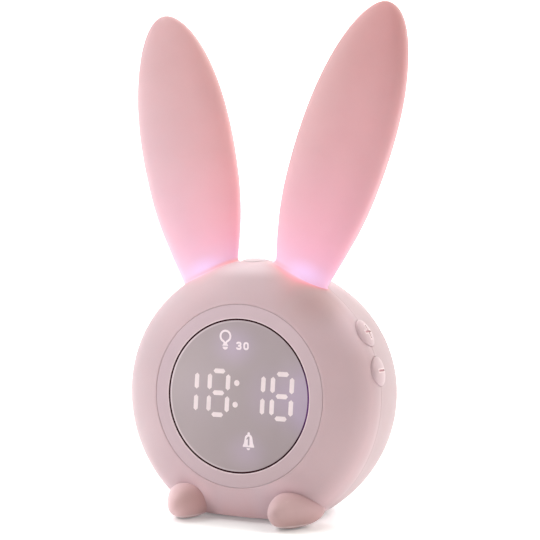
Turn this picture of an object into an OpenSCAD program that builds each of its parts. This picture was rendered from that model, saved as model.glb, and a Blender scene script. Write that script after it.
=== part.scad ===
// Rabbit-shaped bedside alarm clock with glowing ears.
// Millimetres, +Z up. The front of the clock faces -Y, and "left" and "right"
// are as seen by someone looking at the display (left = -X).
// Origin: on the floor plane, below the middle of the clock from side to side and
// from the toes to the rear. The pieces are drawn with the parting plane between
// the front and the rear shell at y = 0, and centred() then shifts them.

/* [Body] */
// Radius of the round body at the parting plane
body_r = 60; // [59.4:0.1:60.4]
// Height of the body's centre above the floor
axis_z = 54.2; // [53.8:0.1:54.6]
// Distance from the parting plane forward to the display ring
front_depth = 17.5; // [17:0.1:18]
// Distance from the parting plane back to the rear of the body
rear_depth = 56; // [54:0.5:58]
// Thickness of the shells
wall = 2.4; // [2.2:0.1:2.6]
// Gap between the flat underside and the floor
under_z = 2; // [1.8:0.1:2.4]

/* [Display] */
// Height of the display's centre above the floor
face_z = 55.4; // [55:0.1:55.8]
// Outer radius of the flat ring around the display
ring_r = 40; // [39.7:0.1:40.2]
// Radius of the round display window
lens_r = 33.5; // [33.3:0.1:33.6]
// Height of a digit between its outermost segments' centre lines
digit_h = 19.2; // [18.6:0.1:19.8]
// Width of a digit between its side segments' centre lines
digit_w = 8.9; // [8.6:0.1:9.2]
// Width of one segment
segment_w = 2.1; // [1.8:0.1:2.3]

/* [Ears] */
// Length of an ear along its own axis, from its root in the head to the tip
ear_l = 131.4; // [125:0.2:134]
// Sideways tilt of each ear in degrees
ear_tilt = 15.7; // [15:0.1:16.4]
// Backward lean of each ear in degrees
ear_lean = 5.5; // [5:0.1:6]
// Half width of an ear at its root
ear_root = 12.4; // [12:0.1:12.6]
// Half width that the ear's outline grows towards before it rounds off
ear_full = 26.3; // [25.5:0.1:26.5]
// Thickness of an ear at its root as a share of its width there
ear_flat = 0.36; // [0.35:0.005:0.365]

/* [Buttons] */
// Radius of the caps of the two buttons on the right-hand side
button_r = 6.6; // [6.4:0.1:6.6]
// Radius of the button on top of the head
top_button_r = 6.5; // [6.2:0.1:6.5]
// Radius of the caps of the two buttons in the rear
rear_button_r = 5; // [4.6:0.1:5.2]
// Angle of the upper side button above the horizontal
upper_angle = 29.8; // [29.8:0.1:30.2]
// Angle of the lower side button above the horizontal
lower_angle = 13.3; // [12.9:0.1:13.3]
// Distance of each rear button from the symmetry plane
rear_button_x = 38; // [37:0.5:39]
// How far a button can be pressed in
button_travel = 0.8; // [0.6:0.1:0.9]

/* [Feet] */
// Distance of each foot from the symmetry plane
foot_x = 24.9; // [24.5:0.1:25.2]
// How far the feet reach in front of the parting plane
foot_front = 30.8; // [30:0.1:32]

/* [Hidden] */
$fn = 72;

front_pow = 2.6;
rear_pow = 3.1;
g_ring = 0.664;
k_ring = 1 - pow(g_ring, front_pow);
face_y = -front_depth;
bore_r = ring_r + 0.12;
floor_z = under_z + wall;
ear_pow = 2.92;
ear_c = 3.03;
ear_wall = 2.1;
ear_sides = 32;
ear_x = 21;
ear_y = -1.2;
ear_z = 104;
slant = 2;
button_gap = 0.3;
lip = 0.7;
rear_tilt = 23;
boss_at = 33.2;
shelf_r = 43.5;
board_r = 45;

side_angles = [upper_angle, lower_angle];
boss_points = [for (sx = [-1, 1], sz = [-1, 1]) [sx * boss_at, axis_z + sz * boss_at]];
// digit corners: x of the left side segments at mid height, for the four digits
digit_x = [-28.9, -13.7, 3.2, 16.6];
digit_mid = 0.9;
lit = [[0, 0, 1, 0, 0, 1, 0], [1, 1, 1, 1, 1, 1, 1], [0, 0, 1, 0, 0, 1, 0], [1, 1, 1, 1, 1, 1, 1]];

// ---------- outlines of the body ----------

function front_outline(r, d, n, g_end) =
  let (e = acos(pow(g_end, front_pow / 2)))
  [for (i = [0:n]) let (t = e * i / n)
    [r * pow(cos(t), 2 / front_pow),
     -d * pow(sin(t), 2 / front_pow) / pow(k_ring, 1 / front_pow)]];

function rear_outline(r, d, n) =
  [for (i = [0:n]) let (t = 90 * i / n)
    [r * pow(max(cos(t), 0), 2 / rear_pow), d * pow(sin(t), 2 / rear_pow)]];

// turned about the body's own front-to-back axis; points are [radius, y]
module turned(pts, z = axis_z)
  translate([0, 0, z]) rotate([-90, 0, 0]) rotate_extrude() polygon(pts);

// a rod along +Y from y0 to y1
module rod_y(x, z, y0, y1, r)
  translate([x, y0, z]) rotate([-90, 0, 0]) cylinder(r = r, h = y1 - y0);

module above(z) translate([-100, -60, z]) cube([200, 140, 200]);

module front_solid(r, d, lap) {
  p = front_outline(r, d, 15, 0.6);
  turned(concat([[0, lap]], lap > 0 ? [[r, lap]] : [], p, [[0, p[15][1]]]));
}

module rear_solid(r, d, lap) {
  p = rear_outline(r, d, 22);
  turned(concat([[0, -lap]], lap > 0 ? [[r, -lap]] : [], p));
}

// ---------- places ----------

// button frame: +Z points out of the head along the button's axis
module at_button(a) translate([0, 0, axis_z]) rotate([0, 90 - a, 0]) children();

// frame of a rear button, square to the rear skin: the skin is at z = body_r, as in at_button
function rear_y(x) = rear_depth * pow(1 - pow(x / body_r, rear_pow), 1 / rear_pow);
module at_rear(s) translate([0, 0, axis_z]) rotate([0, s > 0 ? 0 : 180, 0])
  translate([rear_button_x, rear_y(rear_button_x), 0]) rotate([0, 0, -rear_tilt]) rotate([-90, 0, 0])
  translate([0, 0, -body_r]) children();

module at_ear(side)
  translate([side * ear_x, ear_y, ear_z]) rotate([-ear_lean, side * ear_tilt, 0]) children();

module at_face() translate([0, 0, face_z]) rotate([90, 0, 0]) children();

// ---------- ears ----------

function ear_half(s) =
  (ear_root + (ear_full - ear_root) * (1 - pow(1 - s, ear_c))) * sqrt(max(0, 1 - pow(s, ear_pow)));

// half thickness: "ear_flat" of the width at the root, thinner towards the middle and the tip
function ear_thick(w) = ear_flat * ear_root * pow(max(w, 0.01) / ear_root, 0.735);

function signed_pow(v, e) = sign(v) * pow(abs(v), e);

// one closed section, an ellipse at the root that gets slightly squarer up the blade
function ear_ring(w, t, z, e) =
  [for (k = [0:ear_sides - 1]) let (a = 360 * k / ear_sides)
    [w * signed_pow(cos(a), e), t * signed_pow(sin(a), e), z]];

function ear_square(s) = 1 - 0.15 * min(1, s / 0.3);

// the wall is a surface from the inner tip down to the open root and up to the outer tip
function ear_inner(n) = [for (i = [n - 1:-1:0]) let (s = sin(90 * i / n), w = max(0.4, ear_half(s) - ear_wall))
  ear_ring(w, max(0.3, ear_thick(ear_half(s)) - 0.78 * ear_wall), s * (ear_l - ear_wall), ear_square(s))];
function ear_outer(n) = [for (i = [0:n - 1]) let (s = sin(90 * i / n), w = ear_half(s))
  ear_ring(w, ear_thick(w), s * ear_l, ear_square(s))];
function ear_neck() = [
  ear_ring(ear_root - ear_wall, ear_thick(ear_root) - 0.78 * ear_wall, -2.6, 1),
  ear_ring(ear_root + 2, ear_flat * (ear_root + 2.8), -2.6, 1),
  ear_ring(ear_root + 2, ear_flat * (ear_root + 2.8), -1.1, 1),
  ear_ring(ear_root, ear_thick(ear_root), -1.1, 1)];

module ear() {
  rings = concat(ear_inner(16), ear_neck(), ear_outer(24));
  n = len(rings);
  m = ear_sides;
  last = n * m + 1;
  polyhedron(
    points = concat([[0, 0, ear_l - ear_wall]], [for (r = rings) each r], [[0, 0, ear_l]]),
    faces = concat(
      [for (k = [0:m - 1]) [0, 1 + k, 1 + (k + 1) % m]],
      [for (i = [0:n - 2], k = [0:m - 1]) let (a = 1 + i * m, b = a + m, q = (k + 1) % m)
        each [[a + k, b + k, b + q], [a + k, b + q, a + q]]],
      [for (k = [0:m - 1]) [last - m + k, last, last - m + (k + 1) % m]]));
}

module left_ear() color([0.95, 0.72, 0.77]) at_ear(-1) ear();
module right_ear() color([0.95, 0.72, 0.77]) at_ear(1) ear();

// ---------- shells ----------

module ear_openings() {
  for (s = [-1, 1]) at_ear(s) scale([1, ear_flat + 0.011, 1]) rotate_extrude() polygon(concat(
    [[0, -6], [ear_root + 0.15, -6]],
    [for (q = [0, 0.03, 0.06, 0.1]) [ear_half(q) + 0.15, q * ear_l]], [[0, 0.1 * ear_l]]));
}

module button_holes() {
  for (a = side_angles)
    at_button(a) translate([0, 0, 52]) rotate([0, 0, 37]) cylinder(r = button_r + button_gap, h = 14);
  at_button(90) translate([0, 0, 52]) rotate([0, 0, 37]) cylinder(r = top_button_r + button_gap, h = 14);
}

module front_inside() {
  difference() {
    front_solid(body_r - wall, front_depth - wall, 1);
    translate([-100, -60, -60]) cube([200, 140, 60 + floor_z]);
    // pillars for the long shell screws
    for (p = boss_points) rod_y(p[0], p[1], -30, 0, 3.6);
    // bosses behind the feet
    for (s = [-1, 1]) rod_y(s * foot_x, 9, -20, -7, 3.4);
    // shelves that carry the small boards behind the buttons
    for (a = side_angles)
      at_button(a) translate([-5, -20, shelf_r]) cube([10, 19.8, board_r - shelf_r - 0.05]);
    at_button(90) translate([-5, -20, shelf_r]) cube([10, 19.8, board_r - shelf_r - 0.05]);
    // shelves below the lamps of the ears
    for (s = [-1, 1]) at_ear(s) translate([-6, -20, -7.8]) cube([12, 20.5, 1.55]);
  }
}

module front_shell() color([0.93, 0.80, 0.82]) difference() {
  intersection() {
    front_solid(body_r, front_depth, 0);
    above(under_z);
  }
  front_inside();
  // round opening for the display ring
  rod_y(0, face_z, -40, face_y + 6, bore_r);
  // step that takes the rear shell's tongue
  difference() {
    rod_y(0, axis_z, -1.7, 1, body_r - 1.2);
    rod_y(0, axis_z, -1.8, 1.1, body_r - wall - 1.5);
    for (p = boss_points) rod_y(p[0], p[1], -2, 2, 3.6);
    translate([-100, -60, -60]) cube([200, 140, 60 + floor_z]);
  }
  ear_openings();
  button_holes();
  for (p = boss_points) rod_y(p[0], p[1], -10.5, 1, 1.1);
  for (s = [-1, 1]) rod_y(s * foot_x, 9, -30, -5, 1.5);
}

module grille_holes() {
  rod_y(0, 60, 44, 60, 1.1);
  for (k = [1:2], i = [0:6 * k - 1]) {
    a = 360 * i / (6 * k);
    rod_y(4.4 * k * cos(a), 60 + 4.4 * k * sin(a), 44, 60, 1.1);
  }
}

// rounded slot along X, cut or filled from y0 to y1
module slot_y(w, h, z, y0, y1) {
  translate([-(w - h) / 2, y0, z - h / 2]) cube([w - h, y1 - y0, h]);
  for (s = [-1, 1]) rod_y(s * (w - h) / 2, z, y0, y1, h / 2);
}

module rear_inside() {
  difference() {
    rear_solid(body_r - wall, rear_depth - wall, 1);
    translate([-100, -60, -60]) cube([200, 140, 60 + floor_z]);
    // screw wells
    for (p = boss_points) rod_y(p[0], p[1], 0, 80, 4.4);
    // posts of the main board
    for (sx = [-1, 1], sz = [-1, 1]) rod_y(sx * 31, 62 + sz * 18, 15.7, 80, 2.6);
    // posts of the speaker
    for (a = [45:90:315]) rod_y(22.6 * cos(a), 60 + 22.6 * sin(a), 47.6, 80, 2.2);
    // upright ribs that the battery leans on
    for (s = [-1, 1]) translate([s * 16 - 1, 29.2, 0]) cube([2, 60, 37]);
    // cradle of the socket's board
    for (s = [-1, 1]) translate([s * 11.2 - 1, 42, 0]) cube([2, 20, 19.3]);
    // brackets that carry the small boards behind the rear buttons
    for (s = [-1, 1]) at_rear(s) {
      translate([-5, -7.7, shelf_r]) cube([10, 15.4, board_r - shelf_r - 0.05]);
      for (q = [-1, 1]) translate([-5, q * 6.95 - 0.75, shelf_r]) cube([10, 1.5, 20]);
    }
  }
}

module rear_shell() color([0.93, 0.80, 0.82]) difference() {
  union() {
    intersection() {
      rear_solid(body_r, rear_depth, 0);
      above(under_z);
    }
    // tongue
    intersection() {
      difference() {
        rod_y(0, axis_z, -1.5, 1, body_r - 1.3);
        rod_y(0, axis_z, -2, 1.1, body_r - wall + 0.2);
      }
      above(floor_z + 0.2);
    }
  }
  rear_inside();
  ear_openings();
  button_holes();
  for (s = [-1, 1]) at_rear(s) translate([0, 0, 52]) rotate([0, 0, 37]) cylinder(r = rear_button_r + button_gap, h = 14);
  grille_holes();
  for (p = boss_points) {
    rod_y(p[0], p[1], 9, 80, 3.1);
    rod_y(p[0], p[1], -1, 9.5, 1.6);
  }
  for (sx = [-1, 1], sz = [-1, 1]) rod_y(sx * 31, 62 + sz * 18, 14, 26, 0.85);
  for (a = [45:90:315]) rod_y(22.6 * cos(a), 60 + 22.6 * sin(a), 46, 50, 0.7);
  // socket and reset hole
  slot_y(9.2, 3.4, 22, 44, 60);
  rod_y(0, 31, 44, 60, 0.75);
  // seats of the rear pads
  for (s = [-1, 1]) translate([s * 18, 25, 0]) cylinder(r = 5.1, h = under_z + 0.6);
}

module rear_pads() color([0.85, 0.82, 0.83])
  for (s = [-1, 1]) translate([s * 18, 25, 0]) cylinder(r = 5, h = under_z + 0.55);

module shell_screws() color([0.7, 0.7, 0.72]) for (p = boss_points) {
  rod_y(p[0], p[1], 9.05, 11, 2.5);
  rod_y(p[0], p[1], -9, 9.05, 1.05);
}

// ---------- display ----------

module face_ring() color([0.87, 0.76, 0.79]) difference() {
  union() {
    turned([[lens_r + 0.75, face_y + 0.5], [lens_r + 1.25, face_y], [ring_r - 0.3, face_y],
      [ring_r, face_y + 0.3], [ring_r, face_y + 3.6], [ring_r + 1.7, face_y + 3.6],
      [ring_r + 1.7, face_y + 5], [ring_r, face_y + 5], [ring_r, face_y + 10],
      [ring_r - 1.7, face_y + 10], [ring_r - 1.7, face_y + 3.7], [lens_r - 1.2, face_y + 3.7],
      [lens_r - 1.2, face_y + 2.4], [lens_r + 0.75, face_y + 2.4]], face_z);
    for (a = [45:90:315]) rod_y(35.4 * cos(a), face_z + 35.4 * sin(a), face_y + 3, face_y + 8.6, 2);
  }
  for (a = [45:90:315]) rod_y(35.4 * cos(a), face_z + 35.4 * sin(a), face_y + 4.2, face_y + 9, 0.75);
}

module lens_gasket() color([0.2, 0.12, 0.14])
  turned([[lens_r + 0.05, face_y + 0.12], [lens_r + 0.7, face_y + 0.12],
    [lens_r + 0.7, face_y + 2.35], [lens_r + 0.05, face_y + 2.35]], face_z);

// one elongated segment with pointed ends, lying along X, extruded along +Z
module segment(len, w, h) {
  b = w / 2;
  linear_extrude(height = h) polygon([[-len / 2, 0], [-len / 2 + b * 0.85, b],
    [len / 2 - b * 0.85, b], [len / 2, 0], [len / 2 - b * 0.85, -b], [-len / 2 + b * 0.85, -b]]);
}

// a digit's segments in its own frame (x to the right, y up, z towards the viewer):
// 0 top, 1 upper left, 2 upper right, 3 middle, 4 lower left, 5 lower right, 6 bottom
module digit(x0, grow, h, on) {
  hh = digit_h / 2;
  long = hh - 2.5 + grow;
  wide = digit_w - 3.1 + grow;
  w = segment_w + grow;
  function lean(y) = y * tan(slant);
  for (i = [0, 3, 6]) if (on[i])
    translate([x0 + digit_w / 2 + lean(hh * (1 - i / 3)), digit_mid + hh * (1 - i / 3), 0]) segment(wide, w, h);
  for (i = [1, 2, 4, 5]) if (on[i]) {
    up = i < 3 ? 1 : -1;
    right = i == 2 || i == 5 ? 1 : 0;
    translate([x0 + right * digit_w + lean(up * hh / 2), digit_mid + up * hh / 2, 0])
      rotate([0, 0, 90 - slant]) segment(long, w, h);
  }
}

module colon_dots(r, h) for (s = [-1, 1])
  translate([-0.7 + s * 0.3, digit_mid + s * 4.75, 0]) cylinder(r = r, h = h, $fn = 48);

all_on = [1, 1, 1, 1, 1, 1, 1];

module time_windows(grow, h) {
  for (i = [0:3]) digit(digit_x[i], grow, h, lit[i]);
  colon_dots(1.3 + grow / 2, h);
}

function round_box(w, h, r) = [for (q = [0:3], i = [0:6]) let (a = 90 * q + 15 * i)
  [(q == 0 || q == 3 ? 1 : -1) * (w / 2 - r) + r * cos(a), (q < 2 ? 1 : -1) * (h / 2 - r) + r * sin(a)]];

// lamp outline: a round bulb that tapers to a neck and a flared collar, with a contact below it
module bulb_icon(h) translate([-6.34, 24.68, 0]) {
  difference() {
    union() {
      translate([0, 1.2, 0]) cylinder(r = 2.85, h = h, $fn = 48);
      linear_extrude(height = h) polygon([[-2.72, 0.35], [2.72, 0.35], [0.8, -1.8], [1.52, -3.02], [-1.52, -3.02], [-0.8, -1.8]]);
    }
    translate([0, 1.2, -1]) cylinder(r = 1.93, h = h + 2, $fn = 48);
    translate([0, 0, -1]) linear_extrude(height = h + 2) polygon([[-1.84, 0.62], [1.84, 0.62], [0.12, -1.25], [-0.12, -1.25]]);
  }
  intersection() {
    translate([0, -3.42, 0]) cylinder(r = 1.28, h = h, $fn = 48);
    translate([-2, -5.42, 0]) cube([4, 2, h]);
  }
}

// "30" in rounded figures
module thirty_icon(h) translate([-1.1, 20.15, 0]) {
  difference() {
    linear_extrude(height = h) union() {
      translate([1.3, 2.5]) polygon(round_box(2.5, 2.1, 0.95));
      translate([1.32, 1.1]) polygon(round_box(2.65, 2.2, 1));
    }
    translate([0, 0, -1]) linear_extrude(height = h + 2) {
      translate([1.3, 2.5]) polygon(round_box(0.9, 0.5, 0.2));
      translate([1.32, 1.1]) polygon(round_box(1.05, 0.6, 0.25));
      translate([-1, 1.02]) square([1.95, 1.5]);
    }
  }
  translate([4.8, 1.75, 0]) difference() {
    linear_extrude(height = h) polygon(round_box(2.6, 3.5, 1.15));
    translate([0, 0, -1]) linear_extrude(height = h + 2) polygon(round_box(0.95, 1.9, 0.45));
  }
}

// bell with the figure 1 left out of it
module bell_icon(h) translate([5.8, -19.2, 0]) {
  difference() {
    union() {
      translate([0, 1, 0]) cylinder(r = 1.85, h = h, $fn = 48);
      linear_extrude(height = h)
        polygon([[-1.85, 1], [1.85, 1], [2.15, -0.9], [2.7, -2.15], [2.7, -2.75], [-2.7, -2.75], [-2.7, -2.15], [-2.15, -0.9]]);
      translate([0, 3.2, 0]) cylinder(r = 0.62, h = h, $fn = 32);
    }
    translate([-0.33, -1.95, -1]) cube([0.78, 3.85, h + 2]);
    translate([0, 0, -1]) linear_extrude(height = h + 2) polygon([[-0.3, 1.9], [-1.1, 0.85], [-0.95, 0.4], [-0.3, 0.9]]);
  }
  intersection() {
    translate([0, -3.15, 0]) cylinder(r = 0.85, h = h, $fn = 32);
    translate([-2, -5.15, 0]) cube([4, 2, h]);
  }
}

window_d = 0.4;

module time_segments() color([0.98, 0.93, 0.93])
  translate([0, face_y + 0.22 + window_d, 0]) at_face() time_windows(0, window_d);

module display_icons() color([0.98, 0.93, 0.93])
  translate([0, face_y + 0.22 + window_d, 0]) at_face() { bulb_icon(window_d); thirty_icon(window_d); bell_icon(window_d); }

module display_lens() color([0.69, 0.65, 0.66]) difference() {
  turned([[0, face_y + 0.24], [lens_r - 0.25, face_y + 0.24], [lens_r, face_y + 0.49],
    [lens_r, face_y + 2.35], [0, face_y + 2.35]], face_z);
  translate([0, face_y + 0.22 + window_d + 0.02, 0]) at_face() {
    time_windows(0, 2);
    bulb_icon(2);
    thirty_icon(2);
    bell_icon(2);
  }
}

module display_reflector() color([0.95, 0.95, 0.95]) difference() {
  rod_y(0, face_z, face_y + 2.5, face_y + 8.4, lens_r - 1.4);
  translate([0, face_y + 10, 0]) at_face() {
    for (i = [0:3]) digit(digit_x[i], 0.2, 9, all_on);
    colon_dots(1.4, 9);
    translate([-6.3, 24.3, 0]) cylinder(r = 4.2, h = 9);
    translate([-1.5, 19.8, 0]) cube([6.9, 4.2, 9]);
    translate([5.9, -19.2, 0]) cylinder(r = 4.3, h = 9);
  }
}

module display_board() color([0.1, 0.35, 0.2]) difference() {
  rod_y(0, face_z, face_y + 8.65, face_y + 9.85, ring_r - 2.4);
  for (a = [45:90:315]) rod_y(35.4 * cos(a), face_z + 35.4 * sin(a), face_y + 8, face_y + 11, 1.1);
}

module led(x, y) translate([x - 0.8, y - 0.4, 0]) cube([1.6, 0.8, 0.55]);

module display_leds() color([0.95, 0.93, 0.8]) translate([0, face_y + 8.6, 0]) at_face() {
  for (i = [0:3]) {
    x0 = digit_x[i];
    for (j = [-1:1]) led(x0 + digit_w / 2 + j * tan(slant) * digit_h / 2, digit_mid + j * digit_h / 2);
    for (sx = [0, 1], sy = [-1, 1]) led(x0 + sx * digit_w + sy * tan(slant) * digit_h / 4, digit_mid + sy * digit_h / 4);
  }
  for (s = [-1, 1]) led(-0.7, digit_mid + s * 4.75);
  led(-6.3, 24.3);
  led(2, 21.9);
  led(5.9, -19.2);
}

module display_screws() color([0.7, 0.7, 0.72]) for (a = [45:90:315]) {
  rod_y(35.4 * cos(a), face_z + 35.4 * sin(a), face_y + 9.9, face_y + 11.2, 1.8);
  rod_y(35.4 * cos(a), face_z + 35.4 * sin(a), face_y + 4.8, face_y + 9.9, 0.7);
}

// ---------- buttons ----------

cap_top = body_r + 2.1;
side_low = body_r - wall - 3.9;
top_low = body_r - wall - 3.3;

// domed cap, retaining flange and stem, turned about the button's own axis
module button_body(r, low, edge, top) rotate_extrude() polygon(concat(
  [[0, board_r + 6.3], [2, board_r + 6.3], [2, low], [r + lip, low], [r + lip, low + 0.9],
   [r, low + 0.9]],
  [for (i = [0:6]) let (t = 15 * i) [r * cos(t), edge + (top - edge) * sin(t)]]));

module plus_button() color([0.94, 0.80, 0.83]) at_button(upper_angle) difference() {
  button_body(button_r, side_low, body_r + 0.4, cap_top);
  translate([-3.5, -0.5, cap_top - 0.7]) cube([7, 1, 2]);
  translate([-0.5, -3.5, cap_top - 0.7]) cube([1, 7, 2]);
}

module minus_button() color([0.94, 0.80, 0.83]) at_button(lower_angle) difference() {
  button_body(button_r, side_low, body_r + 0.4, cap_top);
  translate([-0.5, -3.5, cap_top - 0.7]) cube([1, 7, 2]);
}

// clock sign: a ring with two hands
module mode_button() color([0.94, 0.80, 0.83]) at_rear(-1) difference() {
  button_body(rear_button_r, side_low, body_r + 0.5, cap_top);
  translate([0, 0, cap_top - 0.6]) difference() {
    cylinder(r = 2.6, h = 2);
    translate([0, 0, -1]) cylinder(r = 2, h = 4);
  }
  translate([-0.3, -0.3, cap_top - 0.6]) cube([0.6, 1.8, 2]);
  translate([-0.3, -0.3, cap_top - 0.6]) cube([1.4, 0.6, 2]);
}

// bell sign: a dome on a bar, upright like the clock
module alarm_button() color([0.94, 0.80, 0.83]) at_rear(1) difference() {
  button_body(rear_button_r, side_low, body_r + 0.5, cap_top);
  translate([-2.2, 1, cap_top - 0.6]) cube([4.4, 0.7, 2]);
  intersection() {
    translate([0, 0.5, cap_top - 0.6]) cylinder(r = 1.7, h = 2);
    translate([-2, -2, cap_top - 1]) cube([4, 2.5, 4]);
  }
}

module top_button() color([0.94, 0.80, 0.83]) at_button(90) button_body(top_button_r, top_low, body_r - 0.2, body_r + 1.4);

module each_button() {
  for (a = side_angles) at_button(a) children();
  at_button(90) children();
  for (s = [-1, 1]) at_rear(s) children();
}

module button_boards() color([0.1, 0.35, 0.2])
  each_button() translate([-4.5, -6, board_r]) cube([9, 12, 1.2]);

module tact_switches() color([0.2, 0.2, 0.22]) each_button() {
  translate([-3, -3, board_r + 1.25]) cube([6, 6, 3.2]);
  translate([0, 0, board_r + 4]) cylinder(r = 1.7, h = 6.3 - 4 - button_travel - 0.3);
}

// ---------- feet ----------

module foot_egg() translate([foot_x, 17.8 - foot_front, 7.2]) scale([10.9, 17.8, 7.6]) sphere(r = 1);

module right_foot() color([0.92, 0.78, 0.80]) difference() {
  intersection() {
    foot_egg();
    translate([0, -60, 0]) cube([60, 56, 40]);
  }
  difference() {
    front_solid(body_r + 0.1, front_depth + 0.1, 1);
    translate([-100, -60, -60]) cube([200, 140, 60 + under_z - 0.1]);
  }
  rod_y(foot_x, 9, -24, -5, 1.05);
}

module left_foot() mirror([1, 0, 0]) right_foot();

module foot_screws() color([0.7, 0.7, 0.72]) for (s = [-1, 1]) {
  rod_y(s * foot_x, 9, -6.95, -5.4, 2.6);
  rod_y(s * foot_x, 9, -23, -6.95, 1);
}

// ---------- lamps of the ears ----------

module ear_led_boards() color([0.1, 0.35, 0.2])
  for (s = [-1, 1]) at_ear(s) translate([-8, -3.6, -6.2]) cube([16, 7.2, 1.2]);

module ear_leds() color([0.95, 0.93, 0.9])
  for (s = [-1, 1]) at_ear(s) for (x = [-4.5, 4.5]) translate([x - 1.75, -1.4, -4.95]) cube([3.5, 2.8, 1.9]);

// ---------- electronics in the rear ----------

module main_board() color([0.1, 0.35, 0.2]) difference() {
  translate([-36, 14, 39]) cube([72, 1.6, 43.5]);
  for (sx = [-1, 1], sz = [-1, 1]) rod_y(sx * 31, 62 + sz * 18, 13, 17, 1.2);
}

module board_screws() color([0.7, 0.7, 0.72]) for (sx = [-1, 1], sz = [-1, 1]) {
  rod_y(sx * 31, 62 + sz * 18, 12.4, 13.95, 2);
  rod_y(sx * 31, 62 + sz * 18, 13.95, 24, 0.8);
}

module board_components() color([0.15, 0.15, 0.17]) {
  translate([-6, 12.5, 58]) cube([12, 1.45, 12]);
  translate([-24, 12.7, 62]) cube([7, 1.25, 9]);
  rod_y(18, 74, 6, 13.95, 4);
  rod_y(-18, 50, 8, 13.95, 3.1);
  translate([12, 8.5, 42]) cube([8, 5.45, 6]);
  translate([-6, 8.5, 76.5]) cube([11, 5.45, 6]);
  translate([16, 12.2, 56]) cube([9, 1.75, 4]);
}

module battery_cell() color([0.55, 0.6, 0.68]) translate([-25, 20, 7]) cube([50, 8, 34]);
module battery_tape() color([0.3, 0.3, 0.3])
  for (s = [-1, 1]) translate([s * 16 - 4, 28.05, 10]) cube([8, 1.1, 26]);

module speaker_frame() color([0.25, 0.25, 0.27]) difference() {
  translate([0, 47.5, 0]) turned([[9.6, -7.9], [13, -7.9], [19.8, -1.3], [21, -1.3], [21, 0], [18, 0], [18, -0.6], [11.6, -6.7], [9.6, -6.7]], 60);
  for (a = [45:90:315]) rod_y(22.6 * cos(a), 60 + 22.6 * sin(a), 44, 50, 2.3);
}

module speaker_cone() color([0.12, 0.12, 0.12]) translate([0, 47.5, 0])
  turned([[0, -4.4], [6, -5.2], [15.5, -0.9], [17.9, -0.45], [17.9, -0.05], [15.5, -0.2], [6.2, -4.5], [0, -3.7]], 60);

module speaker_magnet() color([0.6, 0.6, 0.62]) rod_y(0, 60, 33.6, 39.55, 11.5);

module speaker_screws() color([0.7, 0.7, 0.72]) for (a = [45:90:315]) {
  rod_y(22.6 * cos(a), 60 + 22.6 * sin(a), 46.2, 47.55, 2.2);
  rod_y(22.6 * cos(a), 60 + 22.6 * sin(a), 47.55, 49.8, 0.65);
}

module usb_port() color([0.75, 0.76, 0.78]) {
  difference() {
    slot_y(8.94, 3.16, 22, 45.6, 53);
    slot_y(8.34, 2.56, 22, 46.8, 54);
  }
  translate([-3.35, 46.5, 21.65]) cube([6.7, 5.4, 0.7]);
}

module usb_board() color([0.1, 0.35, 0.2]) translate([-12, 42.2, 19.35]) cube([24, 6.6, 1]);

module centred() translate([0, (foot_front - rear_depth) / 2, 0]) children();

centred() front_shell();
centred() rear_shell();
centred() left_ear();
centred() right_ear();
centred() face_ring();
centred() lens_gasket();
centred() display_lens();
centred() time_segments();
centred() display_icons();
centred() display_reflector();
centred() display_leds();
centred() display_board();
centred() display_screws();
centred() plus_button();
centred() minus_button();
centred() mode_button();
centred() alarm_button();
centred() top_button();
centred() button_boards();
centred() tact_switches();
centred() left_foot();
centred() right_foot();
centred() foot_screws();
centred() rear_pads();
centred() shell_screws();
centred() ear_led_boards();
centred() ear_leds();
centred() main_board();
centred() board_components();
centred() board_screws();
centred() battery_cell();
centred() battery_tape();
centred() speaker_frame();
centred() speaker_magnet();
centred() speaker_cone();
centred() speaker_screws();
centred() usb_port();
centred() usb_board();
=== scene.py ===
"""Rabbit-shaped bedside alarm clock with glowing ears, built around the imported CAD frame."""

import math

import bpy
import bmesh
import numpy as np
from mathutils import Matrix, Vector
from mathutils.bvhtree import BVHTree


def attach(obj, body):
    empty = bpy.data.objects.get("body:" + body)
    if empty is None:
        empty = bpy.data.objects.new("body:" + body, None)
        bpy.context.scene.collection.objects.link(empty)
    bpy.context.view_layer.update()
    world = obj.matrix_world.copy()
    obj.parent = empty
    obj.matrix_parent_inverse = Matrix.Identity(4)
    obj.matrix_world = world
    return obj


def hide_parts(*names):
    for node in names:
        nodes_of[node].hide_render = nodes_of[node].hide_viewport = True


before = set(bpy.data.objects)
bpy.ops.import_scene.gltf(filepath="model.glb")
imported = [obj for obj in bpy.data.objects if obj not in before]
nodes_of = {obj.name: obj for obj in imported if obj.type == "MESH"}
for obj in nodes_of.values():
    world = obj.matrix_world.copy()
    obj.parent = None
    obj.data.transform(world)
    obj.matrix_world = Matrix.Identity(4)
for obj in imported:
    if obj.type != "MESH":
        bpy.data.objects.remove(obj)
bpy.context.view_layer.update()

scene = bpy.context.scene
BODY = "clock_body"

# Shapes below are written in millimetres with the parting plane of the two shells at y = 0;
# placed() turns them into the frame's metres.
PART_Y = -12.6


def placed(p):
    q = np.array(p, float)
    q[..., 1] += PART_Y
    return q * 0.001


# ------------------------------------------------------------------ mesh helpers


def mesh_object(name, verts, faces):
    me = bpy.data.meshes.new(name)
    me.from_pydata(placed(verts).tolist(), [], faces)
    me.update()
    ob = bpy.data.objects.new(name, me)
    scene.collection.objects.link(ob)
    bm = bmesh.new()
    bm.from_mesh(me)
    bmesh.ops.remove_doubles(bm, verts=bm.verts, dist=1e-7)
    bmesh.ops.recalc_face_normals(bm, faces=bm.faces)
    bm.to_mesh(me)
    bm.free()
    return ob


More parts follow.
